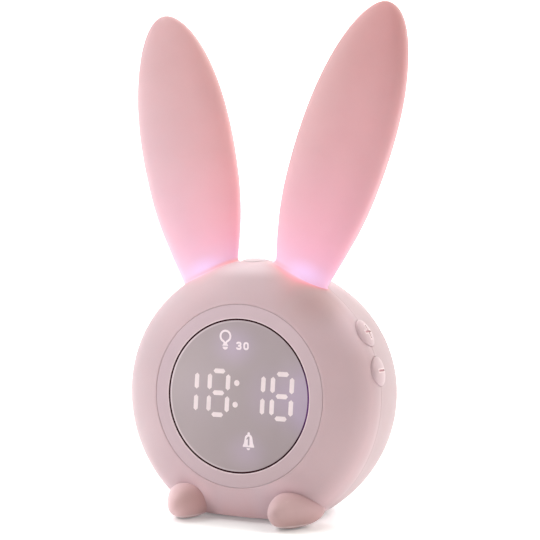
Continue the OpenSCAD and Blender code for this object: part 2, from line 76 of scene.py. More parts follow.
def loft(name, rings, start="fan", end="fan", closed=False):
    """A skin over closed rings of equal length. start and end: "fan" to the ring's middle, or a point. closed joins the last ring to the first."""
    rings = np.asarray(rings, float)
    n, m = rings.shape[:2]
    verts = rings.reshape(-1, 3)
    faces = []
    cols = np.arange(m)
    nxt = (cols + 1) % m
    for i in range(n if closed else n - 1):
        a, b = i * m, ((i + 1) % n) * m
        faces += np.stack([a + cols, a + nxt, b + nxt, b + cols], 1).tolist()
    if not closed:
        for which, row in ((start, 0), (end, n - 1)):
            tip = rings[row].mean(0) if isinstance(which, str) else np.asarray(which, float)
            verts = np.vstack([verts, tip])
            k = len(verts) - 1
            faces += np.stack([row * m + cols, row * m + nxt, np.full(m, k)], 1).tolist()
    return mesh_object(name, verts, faces)


def turned(name, profile, centre, axis="y", sides=256, closed=True):
    """A closed profile of (radius, position along the axis) turned about the axis through centre."""
    a = 2 * np.pi * np.arange(sides) / sides
    rings = []
    for r, h in profile:
        ring = np.zeros((sides, 3))
        ring[:, 0] = centre[0] + r * np.cos(a)
        if axis == "y":
            ring[:, 1] = centre[1] + h
            ring[:, 2] = centre[2] + r * np.sin(a)
        else:
            ring[:, 1] = centre[1] + r * np.sin(a)
            ring[:, 2] = centre[2] + h
        rings.append(ring)
    return loft(name, rings, closed=closed)


def finish_mesh(ob, angle=32.0):
    me = ob.data
    me.polygons.foreach_set("use_smooth", [True] * len(me.polygons))
    me.set_sharp_from_angle(angle=math.radians(angle))
    me.update()
    return ob


def bake(ob):
    """Applies an object's modifiers to its mesh."""
    dg = bpy.context.evaluated_depsgraph_get()
    new = bpy.data.meshes.new_from_object(ob.evaluated_get(dg), depsgraph=dg)
    old = ob.data
    ob.modifiers.clear()
    ob.data = new
    new.name = ob.name
    bpy.data.meshes.remove(old)


def boolean(ob, cutters, operation="DIFFERENCE", keep=False):
    for c in cutters:
        mod = ob.modifiers.new("cut", "BOOLEAN")
        mod.operation = operation
        mod.solver = "MANIFOLD"
        mod.object = c
        bpy.context.view_layer.update()
        bake(ob)
    if not keep:
        for c in cutters:
            remove(c)


def remove(ob):
    me = ob.data
    bpy.data.objects.remove(ob)
    bpy.data.meshes.remove(me)


def arc(n, a0, a1):
    return [math.radians(a0 + (a1 - a0) * i / n) for i in range(n + 1)]


def smooth_max(a, b, k):
    h = np.clip(k - np.abs(a - b), 0, None) / k
    return np.maximum(a, b) + h * h * k / 4


# ------------------------------------------------------------------ the body's skin

WIDE, TALL, LOW, MID_Z = 60.25, 58.25, 61.1, 55.5  # half width, reach up, reach down, height of the middle
FRONT_D, REAR_D = 17.5, 56.0
FACE_Z, RING_R, BORE_R = 55.4, 40.0, 40.1
UNDER_Z, WALL = 2.0, 2.4
FRONT_P, REAR_P, CAD_REAR_P = 2.58, 3.2, 3.1
LENS_R = 33.5
RISE, RISE_W = 1.38, 0.3  # the body rises a little between the ears
COLS = 384
PHI = 2 * np.pi * np.arange(COLS) / COLS


def outline(shrink, rho, blend, radius_of_ring):
    """A section of the body: the body's outline scaled by rho, turning into the display's circle as blend goes to 1."""
    c, s = np.cos(PHI), np.sin(PHI)
    a, up, low = WIDE - shrink, TALL - shrink, LOW - shrink
    x = a * rho * c
    z = np.where(s >= 0, up, low) * rho * s + MID_Z + RISE * rho * np.exp(-(((PHI - np.pi / 2) / RISE_W) ** 2))
    zc = a * rho * s + FACE_Z
    return x, z * (1 - blend) + zc * blend


def front_rows(shrink, rim, psi0=0.0, n=44, under=UNDER_Z, soft=0.6):
    """Rings of the front skin from the parting plane to the display's opening, whose radius is rim."""
    a, depth = WIDE - shrink, FRONT_D - shrink
    g = rim / a
    k = 1 - g ** FRONT_P
    rows = []
    psi_end = math.atan2(1.0, g)
    for i in range(n + 1):
        psi = psi0 + (psi_end - psi0) * i / n
        rho = (math.cos(psi) ** FRONT_P + k * math.sin(psi) ** FRONT_P) ** (-1 / FRONT_P)
        y, q = -depth * rho * math.sin(psi), rho * math.cos(psi)
        w = min(max(1 - (q - g) / (1 - g), 0), 1) if y < 0 else 0
        x, z = outline(shrink, q, w, rim)
        rows.append(np.stack([x, np.full(COLS, y), smooth_max(z, under, soft)], 1))
    return rows


def rear_rows(shrink, psi0=0.0, n=70, under=UNDER_Z, soft=0.6):
    rows = []
    for i in range(n + 1):
        psi = psi0 + (math.radians(89.2) - psi0) * i / n
        rho = (math.cos(psi) ** REAR_P + math.sin(psi) ** REAR_P) ** (-1 / REAR_P)
        x, z = outline(shrink, rho * math.cos(psi), 0, 1)
        rows.append(np.stack([x, np.full(COLS, (REAR_D - shrink) * rho * math.sin(psi)), smooth_max(z, under, soft)], 1))
    return rows


def inset(row, d):
    """Moves a ring at the parting plane inwards by d, square to its own outline."""
    t = np.roll(row, -1, 0) - np.roll(row, 1, 0)
    n = np.stack([-t[:, 2], np.zeros(len(t)), t[:, 0]], 1)
    n /= np.linalg.norm(n, axis=1)[:, None]
    inward = np.array([0, 0, MID_Z]) - row
    n *= np.sign((n * inward).sum(1))[:, None]
    return row + n * d


def at_y(row, y):
    q = row.copy()
    q[:, 1] = y
    return q


SEAM_R, SEAM_GAP = 0.2, 0.04


def front_shell_mesh():
    first = front_rows(0, BORE_R + 0.18)[0]
    edge = [at_y(inset(first, SEAM_R * (1 - math.sin(a))), -SEAM_GAP - SEAM_R * (1 - math.cos(a))) for a in arc(4, 0, 90)]
    skin = [r for r in front_rows(0, BORE_R + 0.18) if r[0, 1] < -0.5]
    rim = []
    for a in arc(4, 0, 90)[1:]:
        r = BORE_R + 0.18 * (1 - math.sin(a))
        rim.append(np.stack([r * np.cos(PHI), np.full(COLS, -FRONT_D + 0.18 * (1 - math.cos(a))), FACE_Z + r * np.sin(PHI)], 1))
    inner = front_rows(WALL, BORE_R, under=UNDER_Z + WALL)
    inside = [r for r in inner[::-1] if r[0, 1] < -0.5] + [at_y(inner[0], -SEAM_GAP)]
    return loft("Front_shell", edge + skin + rim + inside, closed=True)


def rear_shell_mesh():
    rows = rear_rows(0)
    first = rows[0]
    edge = [at_y(inset(first, SEAM_R * (1 - math.sin(a))), SEAM_GAP + SEAM_R * (1 - math.cos(a))) for a in arc(4, 0, 90)]
    skin = [r for r in rows if r[0, 1] > 0.6]
    inner = rear_rows(WALL, under=UNDER_Z + WALL)
    inside = [r for r in inner[::-1] if r[0, 1] > 0.6] + [at_y(inner[0], SEAM_GAP)]
    return loft("Rear_shell", inside + edge + skin, start=(0, REAR_D - WALL, MID_Z), end=(0, REAR_D, MID_Z))


def body_solid(grow):
    """The whole body as one closed solid, larger by grow, to trim the feet with."""
    fr = front_rows(-grow, BORE_R)
    return loft("Body_solid", fr[::-1] + rear_rows(-grow)[1:], start=(0, fr[-1][0, 1], FACE_Z), end=(0, REAR_D + grow, MID_Z))


solid = body_solid(0.0)
_bm = bmesh.new()
_bm.from_mesh(solid.data)
bmesh.ops.triangulate(_bm, faces=_bm.faces)
SKIN = BVHTree.FromBMesh(_bm)
_bm.free()
remove(solid)


class Place:
    """A local frame in millimetres: u and v across, d outwards."""

    def __init__(self, origin, u, d):
        self.o = np.array(origin, float)
        self.d = np.array(d, float) / np.linalg.norm(d)
        u = np.array(u, float)
        u = u - self.d * (u @ self.d)
        self.u = u / np.linalg.norm(u)
        self.v = np.cross(self.d, self.u)

    def point(self, uv, h):
        uv = np.asarray(uv, float)
        return self.o + uv[..., :1] * self.u + uv[..., 1:2] * self.v + np.asarray(h, float)[..., None] * self.d

    def height(self, uv):
        """Height of the body's skin over the points uv."""
        out = []
        for p in np.asarray(uv, float):
            far = self.o + p[0] * self.u + p[1] * self.v + 150 * self.d
            hit = SKIN.ray_cast(Vector(placed(far)), Vector(-self.d), 0.3)
            out.append(150 - hit[3] * 1000)
        return np.array(out)


def circle(r, n=96, centre=(0, 0)):
    a = 2 * np.pi * np.arange(n) / n
    return np.stack([centre[0] + r * np.cos(a), centre[1] + r * np.sin(a)], 1)


def spread(curve, d):
    """A closed curve moved outwards by d, which may differ from point to point."""
    t = np.roll(curve, -1, 0) - np.roll(curve, 1, 0)
    n = np.stack([t[:, 1], -t[:, 0]], 1)
    n /= np.linalg.norm(n, axis=1)[:, None]
    out = ((curve - curve.mean(0)) * n).sum(1).sum()
    return curve + n * np.sign(out) * np.reshape(d, (-1, 1))


def hole(place, curve, depth, round_r):
    """A tool that cuts a hole with a rounded mouth that follows the skin."""
    h = place.height(curve)
    rings = [place.point(curve, np.full(len(curve), h.min() - depth)), place.point(curve, h - round_r)]
    for a in arc(4, 0, 90)[1:4]:
        c = spread(curve, round_r * (1 - math.cos(a)))
        rings.append(place.point(c, place.height(c) - round_r * (1 - math.sin(a))))
    c = spread(curve, round_r * 1.04)
    hc = place.height(c)
    rings.append(place.point(c, hc + 0.05))
    rings.append(place.point(c, np.full(len(c), hc.max() + 2)))
    return loft("hole", rings)


# ------------------------------------------------------------------ ears

EAR_KNOTS = np.linspace(0, 1, 8)
EAR_IN = np.array([11.7, 17.3, 21.2, 23.4, 24.8, 25.6, 25.7, 24.9])
EAR_OUT = np.array([12.5, 17.2, 21.0, 23.1, 24.5, 25.2, 25.1, 24.9])
EAR_BASE = np.array([21.2, -1.15, 104.0])
EAR_TIP = np.array([56.25, 11.96, 229.6])
EAR_L = float(np.linalg.norm(EAR_TIP - EAR_BASE))
EAR_TWIST = 0.07
EAR_SIDES = 144


def smooth_knots(s, values):
    """A smooth curve through evenly spaced values."""
    n = len(values) - 1
    f = np.clip(np.asarray(s, float), 0, 1) * n
    i = np.clip(f.astype(int), 0, n - 1)
    t = f - i
    m = np.gradient(values)
    h00, h10, h01, h11 = 2 * t**3 - 3 * t**2 + 1, t**3 - 2 * t**2 + t, -2 * t**3 + 3 * t**2, t**3 - t**2
    return h00 * values[i] + h10 * m[i] + h01 * values[i + 1] + h11 * m[i + 1]


def ear_place(side):
    axis = (EAR_TIP - EAR_BASE) / EAR_L
    nx = np.array([axis[2], 0, -axis[0]])
    nx /= np.linalg.norm(nx)
    ny = -np.cross(axis, nx)
    wx = nx * math.cos(EAR_TWIST) + ny * math.sin(EAR_TWIST)
    flip = np.array([side, 1, 1])
    pl = Place(EAR_BASE * flip, wx * flip, axis * flip)
    return pl


def ear_curve(s, side, grow=0.0):
    """The ear's section as (u, v) at the share s of its length, one point for each of EAR_SIDES; s may hold one value per point. u points outwards from the head's middle."""
    s = np.broadcast_to(np.asarray(s, float), (EAR_SIDES,))
    cap = np.sqrt(np.clip(1 - np.clip(s, 0, 1) ** 3.06, 0, 1))
    wi, wo = smooth_knots(s, EAR_IN) * cap, smooth_knots(s, EAR_OUT) * cap
    half, mid = (wi + wo) / 2, (wo - wi) / 2
    thick = 7.03 * np.sqrt(np.clip(half / 23.6, 0, 1))
    root = np.exp(-((s / 0.085) ** 2))
    a = 2 * np.pi * np.arange(EAR_SIDES) / EAR_SIDES
    thick = thick * np.where(-side * np.sin(a) > 0, 1 + 0.22 * root, 1 - 0.10 * root)
    e = 1 - 0.30 * np.clip(s / 0.22, 0, 1) ** 1.2
    c, q = np.cos(a), np.sin(a)
    u = mid + (half + grow) * np.sign(c) * np.abs(c) ** e
    v = (thick + grow) * np.sign(q) * np.abs(q) ** e
    return np.stack([u, v], 1)


def ear_mesh(name, side):
    pl = ear_place(side)
    a = 2 * np.pi * np.arange(EAR_SIDES) / EAR_SIDES
    root = ear_curve(0.0, side)
    h0 = pl.height(root)
    for _ in range(2):
        root = ear_curve(h0 / EAR_L, side)
        h0 = pl.height(root)
    inner = np.clip(-np.cos(a), 0, 1) ** 3
    outer = np.clip(np.cos(a), 0, 1) ** 3
    flare_w = 0.42 + 1.35 * inner + 0.1 * outer
    flare_h = 0.7 + 2.1 * inner + 0.2 * outer
    low = np.minimum(h0 - 0.6, -2.5)
    rings = [pl.point(ear_curve(0.0, side), low - 0.4), pl.point(ear_curve(0.0, side), h0 - 0.6)]
    for f in (0.0, 0.03, 0.1, 0.2, 0.32, 0.46, 0.62, 0.8, 1.0):
        delta = 0.05 + f * (flare_h - 0.05)
        o = flare_w * (1 - np.sqrt(np.clip(1 - (1 - f) ** 2, 0, 1)))
        w = h0 + delta
        c = spread(ear_curve(w / EAR_L, side), o)
        w = pl.height(c) * (1 - f) + h0 * f + delta
        rings.append(pl.point(c, w))
    start = h0 + flare_h
    n = 110
    for i in range(1, n):
        t = i / n
        g = math.sin(math.pi / 2 * t) * 0.9 + 0.1 * t if t < 1 else 1
        w = start + (EAR_L - start) * g
        rings.append(pl.point(ear_curve(w / EAR_L, side), w))
    for q in (0.985, 0.995, 0.999):
        w = start + (EAR_L - start) * (g + (1 - g) * q)
        rings.append(pl.point(ear_curve(w / EAR_L, side), w))
    tip = pl.point(np.array([[0.0, 0.0]]), np.array([EAR_L]))[0]
    return loft(name, rings, end=tip)


def ear_opening(side):
    pl = ear_place(side)
    c = ear_curve(0.0, side, 0.12)
    h = pl.height(c)
    root = ear_curve(h / EAR_L, side, 0.12)
    rings = [pl.point(c, np.full(EAR_SIDES, h.min() - 8)), pl.point(root, h - 0.1), pl.point(root, h + 3)]
    return loft("hole", rings)


# ------------------------------------------------------------------ places of the buttons

AXIS_Z, CAP_R, TOP_R, BACK_R = 54.2, 6.45, 6.4, 5.0
UP_A, LOW_A, BACK_TILT, BACK_X = 29.8, 13.3, 23.0, 38.0


def button_place(angle):
    """Frame of a button: the skin of the CAD body is at the height 60 along d."""
    a = math.radians(angle)
    return Place((0, 0, AXIS_Z), (0, 1, 0), (math.cos(a), 0, math.sin(a)))


def rear_button_place(side):
    t = math.radians(BACK_TILT)
    skin_y = REAR_D * (1 - (BACK_X / 60.0) ** CAD_REAR_P) ** (1 / CAD_REAR_P)
    d = np.array([side * math.sin(t), math.cos(t), 0])
    return Place(np.array([side * BACK_X, skin_y, AXIS_Z]) - 60.0 * d, (-math.cos(t), side * math.sin(t), 0), d)


# name: node, body, frame, cap radius, height of the rim, height of the middle, underside, sign
BUTTONS = {
    "Plus_button": ("plus_button", "plus", button_place(UP_A), CAP_R, 60.3, 62.1, 53.7, "plus"),
    "Minus_button": ("minus_button", "minus", button_place(LOW_A), CAP_R, 60.3, 62.1, 53.7, "minus"),
    "Mode_button": ("mode_button", "mode", rear_button_place(-1), BACK_R, 60.7, 62.2, 53.7, "clock"),
    "Alarm_button": ("alarm_button", "alarm", rear_button_place(1), BACK_R, 60.7, 62.2, 53.7, "bell"),
    "Top_button": ("top_button", "top", button_place(90), TOP_R, 59.7, 61.95, 54.3, None),
}

# ------------------------------------------------------------------ shells

front = front_shell_mesh()
rear = rear_shell_mesh()

cutters = [hole(b[2], circle(b[3] + 0.11, 128), 9, 0.12) for n, b in BUTTONS.items() if n not in ("Mode_button", "Alarm_button")]
cutters += [ear_opening(-1), ear_opening(1)]
boolean(front, cutters, keep=True)
boolean(rear, cutters)
boolean(rear, [hole(BUTTONS[n][2], circle(BACK_R + 0.17, 128), 9, 0.15) for n in ("Mode_button", "Alarm_button")])

# speaker holes, screw wells, socket, reset hole and the seats of the pads
back = Place((0, 0, 0), (1, 0, 0), (0, 1, 0))
tools = []


def back_hole(x, z, r, depth, round_r, n=48):
    return hole(back, circle(r, n, (x, -z)), depth, round_r)


tools.append(back_hole(0, 60, 1.1, 5, 0.22))
for k in (1, 2):
    for i in range(6 * k):
        b = 2 * math.pi * i / (6 * k)
        tools.append(back_hole(4.4 * k * math.cos(b), 60 + 4.4 * k * math.sin(b), 1.1, 5, 0.22))
for sx in (-1, 1):
    for sz in (-1, 1):
        tools.append(back_hole(33.2 * sx, AXIS_Z + 33.2 * sz, 3.1, 22, 0.35, 64))
tools.append(back_hole(0, 31, 0.75, 5, 0.12))
a = 2 * np.pi * np.arange(72) / 72
slot = np.stack([np.clip(9.2 * np.cos(a), -2.9, 2.9) + 1.7 * np.cos(a), 1.7 * np.sin(a)], 1)
half = [(2.9 + 1.7 * math.cos(t), 1.7 * math.sin(t)) for t in np.linspace(-math.pi / 2, math.pi / 2, 33)]
slot = np.array(half + [(-x, -y) for x, y in half])
tools.append(hole(back, slot + np.array([0, -22.0]), 6, 0.3))
boolean(rear, tools)
down = Place((0, 0, 0), (1, 0, 0), (0, 0, -1))
boolean(rear, [hole(down, circle(5.12, 96, (18 * s, -25)), 0.6, 0.15) for s in (-1, 1)])
finish_mesh(front)
finish_mesh(rear)
for ob, node in ((front, "front_shell"), (rear, "rear_shell")):
    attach(ob, BODY)
    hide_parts(node)

ears = []
for name, node, side in (("Left_ear", "left_ear", -1), ("Right_ear", "right_ear", 1)):
    ear = finish_mesh(ear_mesh(name, side), 50)
    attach(ear, BODY)
    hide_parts(node)
    ears.append(ear)

# ------------------------------------------------------------------ display ring and gasket

C_FACE = (0, -FRONT_D, FACE_Z)
ring_profile = [(34.0, 3.4), (34.0, 0.42), (33.78, 0.42), (33.78, 0.2), (33.81, 0.12), (33.88, 0.05), (33.98, 0.01), (34.1, 0)]
ring_profile += [(r, 0) for r in (34.4, 35.2, 36.2, 37.4, 38.6, 39.4, 39.78)]
ring_profile += [(39.78 + 0.2 * math.sin(a), 0.2 * (1 - math.cos(a))) for a in arc(4, 0, 90)[1:]]
ring_profile += [(39.98, 3.4)]
ring = finish_mesh(turned("Display_ring", ring_profile, C_FACE), 35)
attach(ring, BODY)
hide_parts("face_ring")

# a lip of the gasket covers the window's edge
gasket_profile = [(33.54, 2.3), (33.54, 0.5), (33.3, 0.27), (33.28, 0.235), (33.02, 0.235), (33.02, 0.19), (33.05, 0.15), (33.11, 0.13)]
gasket_profile += [(33.64, 0.13), (33.7, 0.15), (33.74, 0.2), (33.74, 0.45), (33.97, 0.45), (33.97, 2.3)]
gasket = finish_mesh(turned("Display_gasket", gasket_profile, C_FACE), 40)
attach(gasket, BODY)
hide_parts("lens_gasket")

# ------------------------------------------------------------------ buttons


def prism(place, poly, h0, h1, draft=0.0):
    """A straight-sided tool over a closed polygon given as (u, v), a little wider at the top."""
    poly = np.asarray(poly, float)
    return loft("tool", [place.point(poly, np.full(len(poly), h0)), place.point(spread(poly, draft), np.full(len(poly), h1))])


def bar(cu, cv, lu, lv, r=0.22, n=5):
    """A rectangle with rounded corners, as (u, v)."""
    pts = []
    for sx, sy, a0 in ((1, 1, 0), (-1, 1, 90), (-1, -1, 180), (1, -1, 270)):
        for i in range(n + 1):
            t = math.radians(a0 + 90 * i / n)
            pts.append((cu + sx * (lu / 2 - r) + r * math.cos(t), cv + sy * (lv / 2 - r) + r * math.sin(t)))
    return pts


def cap_profile(r, low, edge, top):
    """(radius, height) of a domed cap from its retaining flange to the middle of its dome."""
    p = [(r + 0.7, low), (r + 0.7, low + 0.9), (r, low + 0.9), (r, edge - 0.5), (r, edge)]
    p += [(r * math.cos(t), edge + (top - edge) * math.sin(t)) for t in arc(22, 0, 90)[1:-1]]
    return p


def sign_cut(ob, pl, top, shapes, depth=0.62):
    """Engraves closed outlines into a cap, with a soft lip round them."""
    boolean(ob, [prism(pl, c, top - depth, top + 1.0, 0.3) for c in shapes])


button_objects = []
for name, (node, body, pl, r, edge, top, low, sign) in BUTTONS.items():
    rings = [pl.point(circle(2.0, 160), np.full(160, 51.4)), pl.point(circle(2.0, 160), np.full(160, low))]
    if name == "Top_button":
        rings += [pl.point(circle(q, 160), np.full(160, h)) for q, h in ((r + 0.7, low), (r + 0.7, low + 0.9), (r, low + 0.9))]
        swell = top - pl.height(np.array([[0.0, 0.0]]))[0]
        for q, h in [(1.0, -0.4), (1.0, 0.0), (0.993, 0.1), (0.978, 0.17)] + [(q, 0.17 + (swell - 0.17) * (1 - (q / 0.978) ** 2.2)) for q in np.linspace(0.94, 0.03, 20)]:
            c = circle(r * q, 160)
            rings.append(pl.point(c, pl.height(c) + h))
    else:
        rings += [pl.point(circle(q, 160), np.full(160, h)) for q, h in cap_profile(r, low, edge, top)]
    ob = loft(name, rings, end=pl.point(np.array([[0.0, 0.0]]), np.array([top]))[0])
    # on the side buttons u runs towards the rear of the clock and v along the body's outline;
    # on the rear buttons u runs to the right of someone looking at the rear and v upwards or downwards
    if sign == "plus":
        sign_cut(ob, pl, top, [bar(0, 0, 6.6, 0.85), bar(0, 0, 0.85, 6.6)])
    elif sign == "minus":
        sign_cut(ob, pl, top, [bar(0, 0, 6.6, 0.85)])
    elif sign == "clock":
        flip = 1 if pl.v[2] > 0 else -1
        tool = prism(pl, circle(2.6, 64), top - 0.6, top + 1)
        boolean(tool, [prism(pl, circle(2.05, 64), top - 2, top + 3)])
        boolean(ob, [tool, prism(pl, bar(0.45, 0, 1.5, 0.5), top - 0.6, top + 1), prism(pl, bar(0, 0.6 * flip, 0.5, 1.7), top - 0.6, top + 1)])
    elif sign == "bell":
        flip = 1 if pl.v[2] > 0 else -1
        dome = [(1.55 * math.cos(t), 0.45 + 1.55 * math.sin(t)) for t in arc(20, 0, 180)]
        dome += [(-1.75, -0.75), (-2.3, -1.3), (2.3, -1.3), (1.75, -0.75)]
        dome = [(x, y * flip) for x, y in dome]
        boolean(ob, [prism(pl, dome, top - 0.6, top + 1), prism(pl, circle(0.55, 24, (0, -2.0 * flip)), top - 0.6, top + 1)])
    finish_mesh(ob, 40)
    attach(ob, body)
    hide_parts(node)
    button_objects.append(ob)

# ------------------------------------------------------------------ feet and pads


def foot_mesh(name, side):
    n, m = 64, 128
    rings = []
    a = 2 * np.pi * np.arange(m) / m
    ca, sa_ = np.cos(a), np.sin(a)
    e = 0.914
    for i in range(1, n):
        th = math.pi * i / n
        t, q = -math.cos(th), math.sin(th)
        x = 9.29 * (1 + 0.65 * t + 0.338 * t * t) * q * np.sign(ca) * np.abs(ca) ** e
        z = 7.65 * q * np.sign(sa_) * np.abs(sa_) ** e
        y = 16.46 * t
        y, z = y * math.cos(-0.033) - z * math.sin(-0.033), y * math.sin(-0.033) + z * math.cos(-0.033)
        c, s = math.cos(-0.104), math.sin(-0.104)
        X = (x * c - y * s + 24.97) * side
        Y = x * s + y * c - 14.4
        Z = smooth_max(z + 7.47, 0.0, 0.6)
        rings.append(np.stack([X, Y, Z], 1))
    ob = loft(name, rings)
    boolean(ob, [body_solid(0.04)])
    cut = prism(Place((0, 0, 0), (1, 0, 0), (0, 0, 1)), [(-60, 4.2), (60, 4.2), (60, 40), (-60, 40)], -5, 40)
    boolean(ob, [cut])
    return ob


for name, node, side in (("Left_foot", "left_foot", -1), ("Right_foot", "right_foot", 1)):
    foot = finish_mesh(foot_mesh(name, side), 40)
    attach(foot, BODY)
    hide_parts(node)

pad_parts = []
for s in (-1, 1):
    prof = [(4.4, 0.0)] + [(4.6 + 0.4 * math.sin(t), 0.4 * (1 - math.cos(t))) for t in arc(4, 0, 90)] + [(5.0, 2.5)]
    pad_parts.append(turned("pad", prof, (18 * s, 25, 0), axis="z", sides=96, closed=False))
bm = bmesh.new()
for p in pad_parts:
    bm.from_mesh(p.data)
    remove(p)
me = bpy.data.meshes.new("Rear_pads")
bm.to_mesh(me)
bm.free()
pads = bpy.data.objects.new("Rear_pads", me)
scene.collection.objects.link(pads)
finish_mesh(pads, 40)
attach(pads, BODY)
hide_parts("rear_pads")

# ------------------------------------------------------------------ materials


class Graph:
    """A small helper for node materials."""

    def __init__(self, name):
        self.mat = bpy.data.materials.new(name)
        self.mat.use_nodes = True
        self.t = self.mat.node_tree
        self.t.nodes.clear()
        self.out = self.t.nodes.new("ShaderNodeOutputMaterial")
        self.bsdf = self.t.nodes.new("ShaderNodeBsdfPrincipled")
        self.t.links.new(self.bsdf.outputs[0], self.out.inputs[0])
        self.coord = self.t.nodes.new("ShaderNodeTexCoord").outputs["Object"]

    def node(self, kind, **props):
        n = self.t.nodes.new(kind)
        for k, v in props.items():
            setattr(n, k, v)
        return n

    def link(self, a, b):
        self.t.links.new(a, b)

    def put(self, socket, value):
        if isinstance(value, bpy.types.NodeSocket):
            self.link(value, socket)
        else:
            socket.default_value = value

    def math(self, op, a, b=None, clamp=False):
        n = self.node("ShaderNodeMath", operation=op, use_clamp=clamp)
        self.put(n.inputs[0], a)
        if b is not None:
            self.put(n.inputs[1], b)
        return n.outputs[0]

    def noise(self, scale, detail=3.0, rough=0.5, coord=None):
        n = self.node("ShaderNodeTexNoise")
        self.link(coord or self.coord, n.inputs["Vector"])
        n.inputs["Scale"].default_value = scale
        n.inputs["Detail"].default_value = detail
        n.inputs["Roughness"].default_value = rough
        return n.outputs["Fac"]

    def remap(self, v, a, b, c, d, smooth=False):
        n = self.node("ShaderNodeMapRange")
        if smooth:
            n.interpolation_type = "SMOOTHSTEP"
        self.put(n.inputs["Value"], v)
        for k, x in zip(("From Min", "From Max", "To Min", "To Max"), (a, b, c, d)):
            self.put(n.inputs[k], x)
        return n.outputs["Result"]

    def mix(self, fac, a, b, blend="MIX"):
        n = self.node("ShaderNodeMix", data_type="RGBA", blend_type=blend)
        self.put(n.inputs[0], fac)
        for s, v in ((n.inputs[6], a), (n.inputs[7], b)):
            if isinstance(v, (tuple, list)):
                v = (*v, 1.0) if len(v) == 3 else v
            self.put(s, v)
        return n.outputs[2]

    def xyz(self, vec):
        n = self.node("ShaderNodeSeparateXYZ")
        self.link(vec, n.inputs[0])
        return n.outputs

    def local(self, location, rotation=(0, 0, 0), scale=(1, 1, 1)):
        """Coordinates of a frame at location with that turn: the inverse of placing it."""
        n = self.node("ShaderNodeMapping", vector_type="TEXTURE")
        self.link(self.coord, n.inputs["Vector"])
        n.inputs["Location"].default_value = location
        n.inputs["Rotation"].default_value = rotation
        n.inputs["Scale"].default_value = scale
        return n.outputs[0]

    def length(self, vec):
        n = self.node("ShaderNodeVectorMath", operation="LENGTH")
        self.link(vec, n.inputs[0])
        return n.outputs["Value"]

    def blob(self, location, scale, rotation=(0, 0, 0), power=2.0):
        """1 at a place, falling smoothly to 0 at the distance scale."""
        d = self.length(self.local(location, rotation, scale))
        v = self.remap(d, 0.0, 1.0, 1.0, 0.0, smooth=True)
        return self.math("POWER", v, power) if power != 1 else v

    def ramp(self, fac, stops):
        n = self.node("ShaderNodeValToRGB")
        self.link(fac, n.inputs[0])
        el = n.color_ramp.elements
        while len(el) < len(stops):
            el.new(0.5)
        for e, (p, c) in zip(el, stops):
            e.position, e.color = p, (*c, 1.0)
        return n.outputs[0]

    def bump(self, *layers):
        """layers: (height socket, depth in metres, strength), each on top of the last."""
        last = None
        for h, dist, strength in layers:
            n = self.node("ShaderNodeBump")
            n.inputs["Strength"].default_value = strength
            n.inputs["Distance"].default_value = dist
            self.link(h, n.inputs["Height"])
            if last is not None:
                self.link(last, n.inputs["Normal"])
            last = n.outputs[0]
        self.link(last, self.bsdf.inputs["Normal"])

    def edges(self, low=0.5, high=0.62):
        g = self.node("ShaderNodeNewGeometry")
        return self.remap(g.outputs["Pointiness"], low, high, 0.0, 1.0)


def srgb(r, g, b):
    return tuple(((c / 255 + 0.055) / 1.055) ** 2.4 if c > 10.31 else c / 255 / 12.92 for c in (r, g, b))


def scaled(c, k):
    return tuple(min(1.0, v * k) for v in c)


def soft_touch(g, base, rough=0.52, spread_=0.05, worn=0.05, grain=0.00002):
    """Silky soft-touch plastic: slow colour variation, a fine grain, faint handling marks and paler edges."""
    slow = g.noise(22, 3, 0.55)
    col = g.mix(g.remap(slow, 0.3, 0.7, 0.0, 1.0), scaled(base, 1 - spread_), scaled(base, 1 + spread_ * 0.6))
    speck = g.noise(900, 2, 0.6)
    col = g.mix(g.remap(speck, 0.45, 0.75, 0.0, 0.05), col, scaled(base, 0.82))
    col = g.mix(g.math("MULTIPLY", g.edges(), worn), col, (0.98, 0.93, 0.93))
    handled = g.noise(60, 4, 0.65)
    g.put(g.bsdf.inputs["Roughness"], g.remap(handled, 0.3, 0.75, rough - 0.05, rough + 0.07))
    g.bump((g.noise(3200, 2, 0.5), grain, 0.35), (g.noise(260, 2, 0.5), grain * 2.5, 0.12))
    return col


# the ears' frames for the shells' and the ears' glow
def ear_matrix(side):
    pl = ear_place(side)
    m = Matrix(((pl.u[0], pl.v[0], pl.d[0]), (pl.u[1], pl.v[1], pl.d[1]), (pl.u[2], pl.v[2], pl.d[2])))
    return placed(pl.o), m.to_euler("XYZ")


SHELL = (0.575, 0.414, 0.443)
EAR = (0.645, 0.367, 0.390)
FOOT = (0.588, 0.410, 0.428)
RING = (0.560, 0.418, 0.450)


def height_over_skin(g):
    """Height in mm over the body's skin, for points near the roots of the ears."""
    x, y, z = g.xyz(g.coord)
    a = g.math("DIVIDE", x, WIDE * 0.001)
    b = g.math("DIVIDE", g.math("SUBTRACT", z, MID_Z * 0.001), TALL * 0.001)
    rad = g.math("SQRT", g.math("ADD", g.math("MULTIPLY", a, a), g.math("MULTIPLY", b, b)))
    forward = g.math("DIVIDE", g.math("MAXIMUM", g.math("SUBTRACT", PART_Y * 0.001, y), 0.0), FRONT_D * 0.001)
    k = 1 - (BORE_R / WIDE) ** FRONT_P
    drop = g.math("POWER", g.math("MAXIMUM", g.math("SUBTRACT", 1.0, g.math("MULTIPLY", g.math("POWER", forward, FRONT_P), k)), 0.01), 1 / FRONT_P)
    side = g.math("DIVIDE", x, 0.060 * RISE_W)
    rise = g.math("MULTIPLY", g.math("MULTIPLY", g.math("EXPONENT", g.math("MULTIPLY", g.math("MULTIPLY", side, side), -1.0)), drop), RISE)
    return g.math("SUBTRACT", g.math("MULTIPLY", g.math("SUBTRACT", rad, drop), 59.0), rise)


